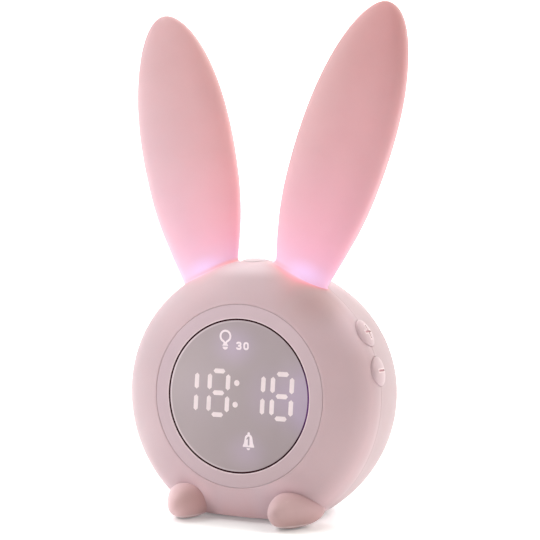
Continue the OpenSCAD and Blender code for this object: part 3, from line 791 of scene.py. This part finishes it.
def shell_material():
    g = Graph("Shell_pink")
    col = soft_touch(g, SHELL)
    x, y, z = g.xyz(g.coord)
    # painted shading: the shell is painted lighter on the slope of the front moulding and darker from the parting line
    # back over the rear moulding, standing in for how the lights fall
    depth = g.remap(y, (PART_Y - 16.0) * 0.001, (PART_Y + 2.0) * 0.001, 0.0, 1.0)
    painted_shade = g.ramp(depth, [(q, (c * 0.9,) * 3) for q, c in ((0.0, 1.0), (0.17, 1.0), (0.36, 1.07), (0.47, 1.09), (0.56, 1.04), (0.67, 0.985), (0.78, 0.955), (0.88, 0.91), (1.0, 0.85))])
    col = g.mix(1.0, col, painted_shade, "MULTIPLY")
    col = g.mix(1.0, col, (1 / 0.9, 1 / 0.9, 1 / 0.9), "MULTIPLY")
    # the moulding is not evenly lit: warmer under the right ear, paler by the plus button, darker low on the left
    for loc, sc, tint in (((0.032, (PART_Y - 12.0) * 0.001, 0.098), (0.019, 0.020, 0.016), (0.86, 0.79, 0.75)),
                          ((0.050, (PART_Y - 6.0) * 0.001, 0.087), (0.015, 0.015, 0.018), (1.10, 1.13, 1.16)),
                          ((-0.036, (PART_Y - 14.5) * 0.001, 0.023), (0.018, 0.020, 0.022), (0.90, 0.90, 0.905))):
        col = g.mix(g.blob(loc, sc, power=1.0), col, g.mix(1.0, col, tint, "MULTIPLY"))
    # painted shade: the shell is painted slightly darker and cooler towards the left and slightly darker and warmer
    # towards the right
    col = g.mix(g.remap(x, -0.050, -0.030, 1.0, 0.0), col, g.mix(1.0, col, (0.965, 0.99, 0.985), "MULTIPLY"))
    col = g.mix(g.remap(x, 0.020, 0.040, 0.0, 1.0), col, g.mix(1.0, col, (0.99, 0.977, 0.970), "MULTIPLY"))
    # painted light: emission on the shell round each ear's root, and a redder tint there, stand in for the ears' lamp
    # light falling on the body
    total = None
    for side in (-1, 1):
        loc, rot = ear_matrix(side)
        u, v, w = g.xyz(g.local(loc, rot))
        # distance from the outline of the ear's root, in the plane across the ear
        uu = g.math("DIVIDE", u, 0.0126)
        front_v = g.math("MULTIPLY", v, -side)
        vv = g.math("MAXIMUM", g.math("DIVIDE", front_v, 0.0067), g.math("DIVIDE", front_v, -0.0049))
        rad = g.math("MAXIMUM", g.math("SQRT", g.math("ADD", g.math("MULTIPLY", uu, uu), g.math("MULTIPLY", vv, vv))), 0.05)
        far = g.math("SQRT", g.math("ADD", g.math("MULTIPLY", u, u), g.math("MULTIPLY", v, v)))
        d = g.math("MULTIPLY", far, g.math("SUBTRACT", 1.0, g.math("DIVIDE", 1.0, rad)))
        # the glow is shorter on the outer side and behind
        short = g.math("ADD", 1.0, g.remap(u, 0.002, 0.013, 0.0, 0.9))
        short = g.math("ADD", short, g.remap(front_v, 0.0, -0.004, 0.0, 1.2))
        d = g.math("MULTIPLY", d, short)
        if side > 0:
            stops = [(0.0, (0.38, 0.19, 0.36)), (0.5, (0.38, 0.11, 0.20)), (1.2, (0.36, 0.035, 0.08)), (2.0, (0.28, 0.0, 0.025)), (3.0, (0.17, 0.0, 0.004)),
                     (4.2, (0.08, 0.0, 0.0)), (6.0, (0.02, 0.0, 0.0)), (8.0, (0.0, 0.0, 0.0))]
        else:
            stops = [(0.0, (0.22, 0.03, 0.12)), (0.7, (0.16, 0.015, 0.07)), (1.6, (0.10, 0.0, 0.02)), (3.0, (0.07, 0.0, 0.0)), (5.0, (0.03, 0.0, 0.0)), (12.0, (0.0, 0.0, 0.0))]
        em = g.ramp(g.remap(d, 0.0, 0.012, 0.0, 1.0), [(q / 12, c) for q, c in stops])
        em = g.mix(g.remap(w, -0.014, -0.004, 0.0, 1.0), (0.0, 0.0, 0.0), em)
        col = g.mix(g.remap(d, 0.0, 0.009 if side > 0 else 0.005, 0.85 if side > 0 else 0.4, 0.0), col, g.mix(1.0, col, (0.98, 0.87, 0.84), "MULTIPLY"))
        total = em if total is None else g.mix(1.0, total, em, "ADD")
    # light thrown back from the feet and the table into the crease over each foot
    crease = g.math("MAXIMUM", g.blob((-0.0195, (PART_Y - 14.0) * 0.001, 0.012), (0.011, 0.014, 0.010), power=1.0),
                    g.math("MULTIPLY", g.blob((0.0215, (PART_Y - 14.0) * 0.001, 0.0165), (0.014, 0.014, 0.008), power=1.0), 0.7))
    total = g.mix(1.0, total, g.mix(crease, (0.0, 0.0, 0.0), (0.16, 0.115, 0.12)), "ADD")
    # painted light: a faint bluish glow low on the front of the belly
    painted_belly_glow = g.blob((-0.001, (PART_Y - 16.6) * 0.001, 0.0118), (0.030, 0.018, 0.014), power=1.0)
    total = g.mix(1.0, total, g.mix(painted_belly_glow, (0.0, 0.0, 0.0), (0.040, 0.072, 0.088)), "ADD")
    # light from both ears on the crown between them
    crown = g.blob((0.001, (PART_Y - 10.0) * 0.001, 0.1114), (0.021, 0.0056, 0.0078), power=1.0)
    total = g.mix(1.0, total, g.mix(crown, (0.0, 0.0, 0.0), (0.16, 0.16, 0.165)), "ADD")
    g.put(g.bsdf.inputs["Base Color"], col)
    g.put(g.bsdf.inputs["Emission Color"], total)
    g.bsdf.inputs["Emission Strength"].default_value = 1.0
    g.bsdf.inputs["Specular IOR Level"].default_value = 0.35
    g.bsdf.inputs["Sheen Weight"].default_value = 0.12
    g.bsdf.inputs["Sheen Roughness"].default_value = 0.5
    g.bsdf.inputs["Subsurface Weight"].default_value = 0.12
    g.bsdf.inputs["Subsurface Radius"].default_value = (1.0, 0.45, 0.4)
    g.bsdf.inputs["Subsurface Scale"].default_value = 0.0015
    return g.mat


def ear_material(side):
    g = Graph("Ear_pink_left" if side < 0 else "Ear_pink_right")
    col = soft_touch(g, EAR, rough=0.5, worn=0.1)
    loc, rot = ear_matrix(side)
    u, v, w = g.xyz(g.local(loc, rot))
    # how far up the light inside the ear reaches, from the root line on the body's skin
    h = height_over_skin(g)
    k = 1.0 if side < 0 else 1.06
    stops = [(0, (0.28, 0.185, 0.35)), (2.5, (0.28, 0.182, 0.35)), (5, (0.27, 0.15, 0.31)), (8, (0.26, 0.125, 0.26)),
             (12, (0.26, 0.10, 0.21)), (20, (0.21, 0.07, 0.145)), (32, (0.145, 0.05, 0.10)), (54, (0.065, 0.027, 0.045)),
             (78, (0.025, 0.012, 0.018)), (100, (0.0, 0.0, 0.0))]
    base = g.ramp(g.remap(h, 0.0, 100.0, 0.0, 1.0), [(q / 100, scaled(c, k)) for q, c in stops])
    # the lamp's own spot, low on the front
    spot = g.blob(tuple(placed(ear_place(side).point(np.array([[-0.5 if side < 0 else 3.0, 0.0]]), np.array([6.5]))[0])), (0.0125, 0.02, 0.0075), rot, 1.0)
    em = g.mix(1.0, base, g.mix(spot, (0.0, 0.0, 0.0), (0.03, 0.10, 0.22) if side < 0 else (0.05, 0.13, 0.27)), "ADD")
    # red light where the wall meets the head
    low = g.remap(h, 0.3, 2.2, 1.0, 0.0, smooth=True)
    if side < 0:
        low = g.math("MULTIPLY", low, g.remap(u, -0.012, 0.004, 1.0, 0.35))
    else:
        low = g.math("MULTIPLY", low, g.remap(u, -0.012, -0.002, 0.8, 0.0))
    em = g.mix(low, em, (0.34, 0.06, 0.09) if side > 0 else (0.27, 0.06, 0.08))
    if side < 0:
        inner = g.math("MULTIPLY", g.remap(u, 0.004, -0.020, 0.0, 1.0), g.remap(h, 2.0, 75.0, 1.0, 0.0))
        em = g.mix(1.0, em, g.mix(inner, (0.0, 0.0, 0.0), (0.09, 0.01, 0.0)), "ADD")
    # painted light and shade: each ear's colour and glow are painted to change across its width (the left ear paler and
    # cooler on its outer side) and darker towards the tip
    if side < 0:
        painted_shading = g.mix(g.remap(u, -0.023, 0.023, 0.0, 1.0), (1.03, 0.955, 0.92), (1.01, 1.19, 1.21))
        painted_shading = g.mix(1.0, painted_shading, g.mix(g.remap(w, 0.070, 0.131, 0.0, 1.0), (1.0, 1.0, 1.0), (0.94, 0.915, 0.90)), "MULTIPLY")
    else:
        painted_shading = g.mix(g.remap(u, 0.0, 0.023, 0.0, 1.0), g.mix(g.remap(u, -0.023, 0.0, 0.0, 1.0), (0.96, 1.03, 1.0), (0.985, 0.95, 0.945)), (1.0, 0.95, 0.95))
        along = g.mix(g.remap(w, 0.0, 0.085, 0.0, 1.0), (1.02, 1.045, 1.06), (1.015, 0.985, 0.97))
        painted_shading = g.mix(1.0, painted_shading, g.mix(g.remap(w, 0.085, 0.131, 0.0, 1.0), along, (0.91, 0.79, 0.755)), "MULTIPLY")
    col = g.mix(1.0, col, painted_shading, "MULTIPLY")
    em = g.mix(1.0, em, painted_shading, "MULTIPLY")
    g.put(g.bsdf.inputs["Base Color"], col)
    g.put(g.bsdf.inputs["Emission Color"], em)
    g.bsdf.inputs["Emission Strength"].default_value = 1.0
    g.bsdf.inputs["Specular IOR Level"].default_value = 0.35
    g.bsdf.inputs["Sheen Weight"].default_value = 0.1
    g.bsdf.inputs["Sheen Roughness"].default_value = 0.5
    g.bsdf.inputs["Subsurface Weight"].default_value = 0.25
    g.bsdf.inputs["Subsurface Radius"].default_value = (1.0, 0.45, 0.45)
    g.bsdf.inputs["Subsurface Scale"].default_value = 0.004
    return g.mat


def plain_material(name, base, rough=0.5, metal=0.0, spread_=0.06, grain=0.00002, worn=0.06, spec=0.5):
    g = Graph(name)
    col = soft_touch(g, base, rough=rough, spread_=spread_, worn=worn, grain=grain)
    g.put(g.bsdf.inputs["Base Color"], col)
    g.bsdf.inputs["Metallic"].default_value = metal
    g.bsdf.inputs["Specular IOR Level"].default_value = spec
    return g


def ring_material():
    g = plain_material("Ring_pink", RING, rough=0.48, spread_=0.03, worn=0.0, grain=0.000012)
    # painted shading: the ring is painted lighter towards the top and the left and darker towards the bottom and the
    # right, and its inner lip is painted paler as a highlight where its bevel catches the light
    x, y, z = g.xyz(g.coord)
    zz = g.math("SUBTRACT", z, FACE_Z * 0.001)
    rad = g.math("SQRT", g.math("ADD", g.math("MULTIPLY", x, x), g.math("MULTIPLY", zz, zz)))
    base = g.bsdf.inputs["Base Color"].links[0].from_socket
    base = g.mix(1.0, base, g.mix(g.remap(zz, -0.040, 0.040, 0.0, 1.0), (0.945, 0.955, 0.95), (1.03, 1.04, 1.055)), "MULTIPLY")
    base = g.mix(1.0, base, g.mix(g.remap(x, -0.040, 0.040, 0.0, 1.0), (1.03, 1.035, 1.05), (0.985, 0.975, 0.965)), "MULTIPLY")
    lip = g.remap(rad, 0.03405, 0.0344, 0.75, 0.0, smooth=True)
    g.put(g.bsdf.inputs["Base Color"], g.mix(lip, base, (0.80, 0.64, 0.67)))
    g.bsdf.inputs["Specular IOR Level"].default_value = 0.35
    return g.mat


def button_material(name, place, sign, top):
    """Soft plastic, with the floor of the engraved sign painted dark as shade."""
    g = Graph(name)
    col = soft_touch(g, SHELL if sign else (0.635, 0.505, 0.53), rough=0.5, worn=0.12)
    m = Matrix(((place.u[0], place.v[0], place.d[0]), (place.u[1], place.v[1], place.d[1]), (place.u[2], place.v[2], place.d[2])))
    u, v, w = g.xyz(g.local(placed(place.o), m.to_euler("XYZ")))
    r = g.math("SQRT", g.math("ADD", g.math("MULTIPLY", u, u), g.math("MULTIPLY", v, v)))
    deep = g.remap(w, (top - 0.60) * 0.001, (top - 0.54) * 0.001, 1.0, 0.0)
    inside = g.math("MULTIPLY", deep, g.remap(r, 0.0035, 0.0037, 1.0, 0.0))
    if sign in ("plus", "minus"):
        # the moulded lip round the bars catches the light
        au, av = g.math("ABSOLUTE", u), g.math("ABSOLUTE", v)
        dist = g.math("MAXIMUM", g.math("SUBTRACT", au, 0.0033), g.math("SUBTRACT", av, 0.00042))
        if sign == "plus":
            other = g.math("MAXIMUM", g.math("SUBTRACT", av, 0.0033), g.math("SUBTRACT", au, 0.00042))
            dist = g.math("MINIMUM", dist, other)
        halo = g.math("MULTIPLY", g.remap(dist, 0.0003, 0.0007, 1.0, 0.0, smooth=True), g.remap(deep, 0.0, 1.0, 1.0, 0.0))
        col = g.mix(g.math("MULTIPLY", halo, 0.8), col, (0.80, 0.63, 0.65))
    # painted shade: the floor of the engraved sign is painted dark
    col = g.mix(inside if sign else 0.0, col, (0.50, 0.24, 0.27))
    g.put(g.bsdf.inputs["Base Color"], col)
    g.bsdf.inputs["Specular IOR Level"].default_value = 0.35
    g.bsdf.inputs["Sheen Weight"].default_value = 0.12
    return g.mat


def foot_material(side):
    """Soft plastic with painted light and shade across each foot (the left one paler and cooler on its left, the right
    one darker and warmer in the middle and low down), a paler band above the lower edge painted as light from the
    table, and a dark line where it stands painted as its contact shadow.
    """
    g = plain_material("Foot_pink_left" if side < 0 else "Foot_pink_right", FOOT, rough=0.52, worn=0.05, spec=0.35)
    x, y, z = g.xyz(g.coord)
    base = g.bsdf.inputs["Base Color"].links[0].from_socket
    # painted light and shade: tints across and up each foot
    mid = 0.025 * side
    if side < 0:
        painted_shading = g.mix(g.remap(x, mid - 0.010, mid + 0.008, 0.0, 1.0), (1.24, 1.30, 1.34), (1.07, 0.95, 0.89))
    else:
        painted_shading = g.ramp(g.remap(x, mid - 0.010, mid + 0.014, 0.0, 1.0), [(0.0, scaled((1.12, 1.12, 1.14), 0.8)), (0.45, scaled((0.94, 0.89, 0.87), 0.8)), (0.66, scaled((0.96, 0.90, 0.88), 0.8)), (0.9, scaled((1.10, 1.03, 1.02), 0.8))])
        painted_shading = g.mix(1.0, painted_shading, (1.25, 1.25, 1.25), "MULTIPLY")
        painted_shading = g.mix(1.0, painted_shading, g.mix(g.remap(z, 0.001, 0.009, 0.0, 1.0), (0.84, 0.77, 0.72), (1.0, 1.0, 1.0)), "MULTIPLY")
    col = g.mix(1.0, base, painted_shading, "MULTIPLY")
    # painted highlight: a paler band just above the lower edge stands in for light from the table
    painted_edge_highlight = g.math("MULTIPLY", g.remap(z, 0.0009, 0.0014, 0.0, 1.0, smooth=True), g.remap(z, 0.0017, 0.0026, 1.0, 0.0, smooth=True))
    col = g.mix(g.math("MULTIPLY", painted_edge_highlight, 0.7), col, (0.86, 0.70, 0.71))
    # painted shadow: a dark line where the foot meets the table
    col = g.mix(g.remap(z, 0.0005, 0.0008, 1.0, 0.0), col, (0.16, 0.035, 0.035))
    g.put(g.bsdf.inputs["Base Color"], col)
    g.bsdf.inputs["Sheen Weight"].default_value = 0.12
    return g.mat


def lens_material():
    g = Graph("Display_window")
    slow = g.noise(30, 2, 0.5)
    col = g.mix(g.remap(slow, 0.3, 0.7, 0.0, 1.0), (0.345, 0.275, 0.290), (0.380, 0.302, 0.318))
    # painted shading: the window is painted lighter towards the top and the left and darker towards the bottom and the
    # right
    col = g.mix(1.0, col, g.mix(g.remap(g.xyz(g.coord)[2], (FACE_Z - 33) * 0.001, (FACE_Z + 33) * 0.001, 0.0, 1.0), (0.935, 0.93, 0.925), (1.11, 1.135, 1.14)), "MULTIPLY")
    col = g.mix(g.remap(g.xyz(g.coord)[0], -0.034, 0.034, 0.0, 1.0), g.mix(1.0, col, (1.085, 1.11, 1.09), "MULTIPLY"), g.mix(1.0, col, (0.89, 0.89, 0.89), "MULTIPLY"))
    g.put(g.bsdf.inputs["Base Color"], col)
    smudge = g.noise(70, 4, 0.6)
    g.put(g.bsdf.inputs["Roughness"], g.remap(smudge, 0.3, 0.8, 0.16, 0.3))
    g.bump((g.noise(2500, 2, 0.5), 0.000004, 0.2))
    y = (-FRONT_D + PART_Y) * 0.001
    # light spilling round the lit figures
    spots = [((0.0265, y, 0.0560), (0.014, 0.02, 0.021), 0.9), ((0.0335, y, 0.0540), (0.010, 0.02, 0.024), 1.0),
             ((0.0130, y, 0.0560), (0.013, 0.02, 0.018), 0.45), ((-0.002, y, 0.0770), (0.015, 0.02, 0.012), 0.9),
             ((0.0050, y, 0.0315), (0.013, 0.02, 0.011), 0.6), ((-0.018, y, 0.0560), (0.018, 0.02, 0.018), 0.18)]
    total = None
    for loc, sc, k in spots:
        b = g.math("MULTIPLY", g.blob(loc, sc, power=1.0), k)
        total = b if total is None else g.math("ADD", total, b)
    em = g.mix(g.math("MINIMUM", total, 1.3), (0.012, 0.008, 0.010), (0.085, 0.055, 0.135))
    # painted highlight: emission on the window's polished edge, brightest on the left, stands in for the edge catching
    # the light
    x, y_, z = g.xyz(g.coord)
    zz = g.math("SUBTRACT", z, FACE_Z * 0.001)
    rad = g.math("SQRT", g.math("ADD", g.math("MULTIPLY", x, x), g.math("MULTIPLY", zz, zz)))
    rim = g.math("MULTIPLY", g.remap(rad, 0.0320, 0.0326, 0.0, 1.0, smooth=True), g.remap(g.math("SUBTRACT", x, g.math("MULTIPLY", zz, 0.15)), -0.030, 0.018, 1.0, 0.0))
    em = g.mix(1.0, em, g.mix(rim, (0.0, 0.0, 0.0), (0.27, 0.22, 0.24)), "ADD")
    g.put(g.bsdf.inputs["Emission Color"], em)
    g.bsdf.inputs["Emission Strength"].default_value = 1.0
    g.bsdf.inputs["Specular IOR Level"].default_value = 0.4
    g.bsdf.inputs["Coat Weight"].default_value = 0.25
    g.bsdf.inputs["Coat Roughness"].default_value = 0.12
    return g.mat


def lit_material(name, low, high):
    g = Graph(name)
    slow = g.noise(120, 2, 0.5)
    col = g.mix(g.remap(slow, 0.3, 0.7, 0.0, 1.0), (0.60, 0.48, 0.49), (0.64, 0.52, 0.53))
    g.put(g.bsdf.inputs["Base Color"], col)
    em = g.mix(g.remap(g.noise(400, 2, 0.5), 0.3, 0.7, 0.0, 1.0), low, high)
    g.put(g.bsdf.inputs["Emission Color"], em)
    g.bsdf.inputs["Emission Strength"].default_value = 1.0
    g.put(g.bsdf.inputs["Roughness"], g.remap(slow, 0.3, 0.7, 0.35, 0.5))
    g.bump((g.noise(2500, 2, 0.5), 0.000004, 0.2))
    return g.mat


def gasket_material():
    g = plain_material("Gasket_dark", (0.030, 0.006, 0.010), rough=0.8, spread_=0.2, worn=0.0, grain=0.00001, spec=0.04)
    # painted light: a purple glow on the right of the gasket, standing in for light from the lit figures
    y = (-FRONT_D + PART_Y) * 0.001
    b = g.blob((0.0345, y, 0.0545), (0.010, 0.02, 0.024), power=1.0)
    g.put(g.bsdf.inputs["Emission Color"], g.mix(b, (0.0, 0.0, 0.0), (0.10, 0.035, 0.15)))
    g.bsdf.inputs["Emission Strength"].default_value = 1.0
    return g.mat


def board_material():
    g = Graph("Circuit_board")
    cells = g.node("ShaderNodeTexVoronoi")
    g.link(g.coord, cells.inputs["Vector"])
    cells.inputs["Scale"].default_value = 700
    tracks = g.remap(cells.outputs["Distance"], 0.2, 0.6, 0.0, 1.0)
    g.put(g.bsdf.inputs["Base Color"], g.mix(tracks, (0.012, 0.10, 0.045), (0.025, 0.17, 0.075)))
    g.put(g.bsdf.inputs["Roughness"], g.remap(g.noise(300), 0.3, 0.7, 0.3, 0.45))
    g.bump((tracks, 0.00003, 0.3))
    return g.mat


def dress(ob, mat):
    ob.data.materials.clear()
    ob.data.materials.append(mat)


shell_mat = shell_material()
dress(front, shell_mat)
dress(rear, shell_mat)
dress(ears[0], ear_material(-1))
dress(ears[1], ear_material(1))
dress(ring, ring_material())
dress(gasket, gasket_material())
dress(bpy.data.objects["Left_foot"], foot_material(-1))
dress(bpy.data.objects["Right_foot"], foot_material(1))
dress(pads, plain_material("Pad_rubber", srgb(200, 178, 184), rough=0.7, grain=0.00004).mat)
for name, b in BUTTONS.items():
    dress(bpy.data.objects[name], button_material(name + "_plastic", b[2], b[7], b[5]))

dress(nodes_of["time_segments"], lit_material("Display_figures", (0.162, 0.163, 0.167), (0.202, 0.203, 0.207)))
dress(nodes_of["display_icons"], lit_material("Display_icons", (0.22, 0.22, 0.25), (0.26, 0.26, 0.29)))
dress(nodes_of["display_lens"], lens_material())
steel = plain_material("Screw_steel", (0.55, 0.55, 0.57), rough=0.3, metal=1.0, grain=0.00001, worn=0.2).mat
black = plain_material("Black_plastic", (0.03, 0.03, 0.033), rough=0.45).mat
white = plain_material("Reflector_white", (0.82, 0.82, 0.8), rough=0.55).mat
board = board_material()
INSIDE = {
    "display_reflector": white, "display_leds": plain_material("Led_body", (0.85, 0.8, 0.62), rough=0.35).mat,
    "display_board": board, "display_screws": steel, "button_boards": board, "tact_switches": black,
    "foot_screws": steel, "shell_screws": steel, "ear_led_boards": board,
    "ear_leds": plain_material("Ear_led", (0.88, 0.84, 0.8), rough=0.3).mat, "main_board": board,
    "board_components": black, "board_screws": steel,
    "battery_cell": plain_material("Battery_foil", (0.42, 0.46, 0.52), rough=0.32, metal=0.9, grain=0.00005).mat,
    "battery_tape": plain_material("Foam_tape", (0.16, 0.16, 0.16), rough=0.9, grain=0.0001).mat,
    "speaker_frame": plain_material("Speaker_frame", (0.05, 0.05, 0.055), rough=0.4, metal=0.3).mat,
    "speaker_magnet": plain_material("Magnet_steel", (0.4, 0.4, 0.41), rough=0.35, metal=1.0).mat,
    "speaker_cone": plain_material("Speaker_paper", (0.03, 0.03, 0.03), rough=0.85, grain=0.00008).mat,
    "speaker_screws": steel, "usb_port": plain_material("Port_steel", (0.6, 0.6, 0.62), rough=0.25, metal=1.0, grain=0.00001).mat,
    "usb_board": board,
}
for n, m in INSIDE.items():
    dress(nodes_of[n], m)

# ------------------------------------------------------------------ floor, backdrop, light and camera


def cyclorama():
    prof = [(-1.2, 0.0), (-0.6, 0.0), (0.3, 0.0), (0.6, 0.0), (1.0, 0.0)]
    prof += [(1.0 + 0.5 * math.sin(t), 0.5 * (1 - math.cos(t))) for t in arc(16, 0, 90)[1:]]
    prof += [(1.5, 1.2), (1.5, 2.4)]
    xs = np.linspace(-2.6, 2.6, 9)
    verts = [(x, y, z) for y, z in prof for x in xs]
    m = len(xs)
    faces = [(i * m + j, i * m + j + 1, (i + 1) * m + j + 1, (i + 1) * m + j) for i in range(len(prof) - 1) for j in range(m - 1)]
    me = bpy.data.meshes.new("Floor")
    me.from_pydata(verts, [], faces)
    me.polygons.foreach_set("use_smooth", [True] * len(faces))
    ob = bpy.data.objects.new("Floor", me)
    scene.collection.objects.link(ob)
    g = Graph("Floor_white")
    g.put(g.bsdf.inputs["Base Color"], g.mix(g.remap(g.noise(3, 3), 0.3, 0.7, 0.0, 1.0), (0.90, 0.90, 0.90), (0.93, 0.93, 0.93)))
    g.bsdf.inputs["Roughness"].default_value = 0.7
    g.bsdf.inputs["Specular IOR Level"].default_value = 0.2
    # the table glows evenly except where it is painted dark under and around the clock as its shadow, and it is painted
    # brighter to the right of the right foot over that foot's shadow
    fx, fy, fz = g.xyz(g.coord)
    near = g.remap(fy, -0.020, -0.011, 0.0, 1.0)
    right = g.math("MULTIPLY", g.remap(fx, 0.022, 0.032, 0.0, 1.0), g.remap(fy, -0.025, -0.010, 0.0, 1.0))
    back = g.remap(fy, 0.035, 0.060, 0.0, 1.0)
    near = g.math("MULTIPLY", near, g.math("SUBTRACT", 1.0, g.math("MAXIMUM", right, back)))
    left = g.remap(fx, -0.055, -0.036, 0.0, 1.0)
    near = g.math("MULTIPLY", near, left)
    glow = g.math("ADD", g.math("MULTIPLY", g.math("SUBTRACT", 1.0, near), 0.22), g.math("MULTIPLY", right, 0.25))
    # painted shadow: a faint grey on the table just in front of the feet
    painted_shade = g.math("MULTIPLY", g.blob((0.004, -0.031, 0.0), (0.060, 0.025, 0.10), power=1.0), 0.7)
    g.put(g.bsdf.inputs["Base Color"], g.mix(painted_shade, g.bsdf.inputs["Base Color"].links[0].from_socket, (0.50, 0.49, 0.49)))
    # the table runs out into plain white all round
    far = g.remap(g.math("SQRT", g.math("ADD", g.math("MULTIPLY", fx, fx), g.math("MULTIPLY", fy, fy))), 0.30, 1.1, 0.0, 0.75, smooth=True)
    glow = g.math("MINIMUM", g.math("ADD", glow, far), 1.0)
    g.put(g.bsdf.inputs["Emission Color"], g.mix(glow, (0.0, 0.0, 0.0), (1.0, 1.0, 1.0)))
    g.bsdf.inputs["Emission Strength"].default_value = 1.0
    me.materials.append(g.mat)
    wall = Graph("Backdrop_white")
    wall.put(wall.bsdf.inputs["Base Color"], wall.mix(wall.remap(wall.noise(3, 3), 0.3, 0.7, 0.0, 1.0), (0.90, 0.90, 0.90), (0.93, 0.93, 0.93)))
    wall.bsdf.inputs["Roughness"].default_value = 0.7
    wall.put(wall.bsdf.inputs["Emission Color"], (1.0, 1.0, 1.0, 1.0))
    wall.bsdf.inputs["Emission Strength"].default_value = 1.0
    me.materials.append(wall.mat)
    for poly in me.polygons:
        if poly.center[1] > 0.55:
            poly.material_index = 1


cyclorama()

world = bpy.data.worlds.new("World")
scene.world = world
world.use_nodes = True
world.node_tree.nodes["Background"].inputs[0].default_value = (1.0, 1.0, 1.0, 1.0)
world.node_tree.nodes["Background"].inputs[1].default_value = 1.0
# a plain white surround that gives no light of its own
for ray in ("diffuse", "glossy", "transmission", "scatter"):
    setattr(world.cycles_visibility, ray, False)

TARGET = Vector((0, 0, 0.09))


def softbox(name, azimuth, elevation, distance, size, power, color=(1, 1, 1)):
    """Azimuth 0 is in front of the clock (-Y), 90 to the right (+X)."""
    a, e = math.radians(azimuth), math.radians(elevation)
    d = Vector((math.sin(a) * math.cos(e), -math.cos(a) * math.cos(e), math.sin(e)))
    light = bpy.data.lights.new(name, "AREA")
    light.shape = "RECTANGLE"
    light.size, light.size_y = size
    light.energy = power
    light.color = color
    ob = bpy.data.objects.new(name, light)
    scene.collection.objects.link(ob)
    ob.location = TARGET + d * distance
    ob.rotation_mode = "QUATERNION"
    ob.rotation_quaternion = (-d).to_track_quat("-Z", "Y")
    ob.visible_camera = False
    return ob


for name, azimuth, elevation, power, color in (
        ("Rear_left_softbox", -150, 45, 5.74, (1.0, 0.948, 0.981)), ("High_left_softbox", -120, 70, 3.65, (0.885, 1.0, 0.975)),
        ("Low_left_softbox", -90, 15, 3.99, (0.885, 1.0, 0.975)), ("Left_softbox", -60, 45, 10.22, (0.973, 0.989, 1.0)),
        ("Front_left_softbox", -30, 45, 2.76, (1.0, 0.888, 0.866)), ("Right_softbox", 90, 45, 6.53, (1.0, 0.936, 0.868)),
        ("High_right_softbox", 120, 70, 6.14, (0.891, 1.0, 0.907))):
    softbox(name, azimuth, elevation, 1.25, (0.9, 0.9), power, color)

kick = bpy.data.lights.new("Low_left_spot", "SPOT")
kick.energy, kick.spot_size, kick.spot_blend, kick.shadow_soft_size = 3.4, math.radians(6.0), 1.0, 0.03
kick.color = (1.0, 0.97, 0.98)
kicker = bpy.data.objects.new("Low_left_spot", kick)
scene.collection.objects.link(kicker)
kicker.location = (-0.30, -0.50, 0.10)
kicker.rotation_mode = "QUATERNION"
kicker.rotation_quaternion = (Vector((-0.0225, -0.030, 0.006)) - kicker.location).to_track_quat("-Z", "Y")
kicker.visible_camera = False

cam_data = bpy.data.cameras.new("Camera")
cam = bpy.data.objects.new("Camera", cam_data)
scene.collection.objects.link(cam)
scene.camera = cam
cam_data.sensor_width = 36.0
cam_data.lens = 86.07
cam_data.clip_start, cam_data.clip_end = 0.01, 20
yaw, pitch, roll = 0.414350, -0.002380, 0.020132
sa, ca, se, ce = math.sin(yaw), math.cos(yaw), math.sin(pitch), math.cos(pitch)
r = Vector((ca, sa, 0))
w = Vector((-sa * ce, ca * ce, -se))
u = Vector((-sa * se, ca * se, ce))
cr, sr = math.cos(roll), math.sin(roll)
r, u = r * cr + u * sr, u * cr - r * sr
cam.matrix_world = Matrix((
    (r.x, u.x, -w.x, 0.2388), (r.y, u.y, -w.y, -0.5402), (r.z, u.z, -w.z, 0.1093), (0, 0, 0, 1)))

scene.view_settings.view_transform = "Standard"
scene.view_settings.look = "None"
scene.view_settings.exposure = 0.0
scene.view_settings.gamma = 1.0
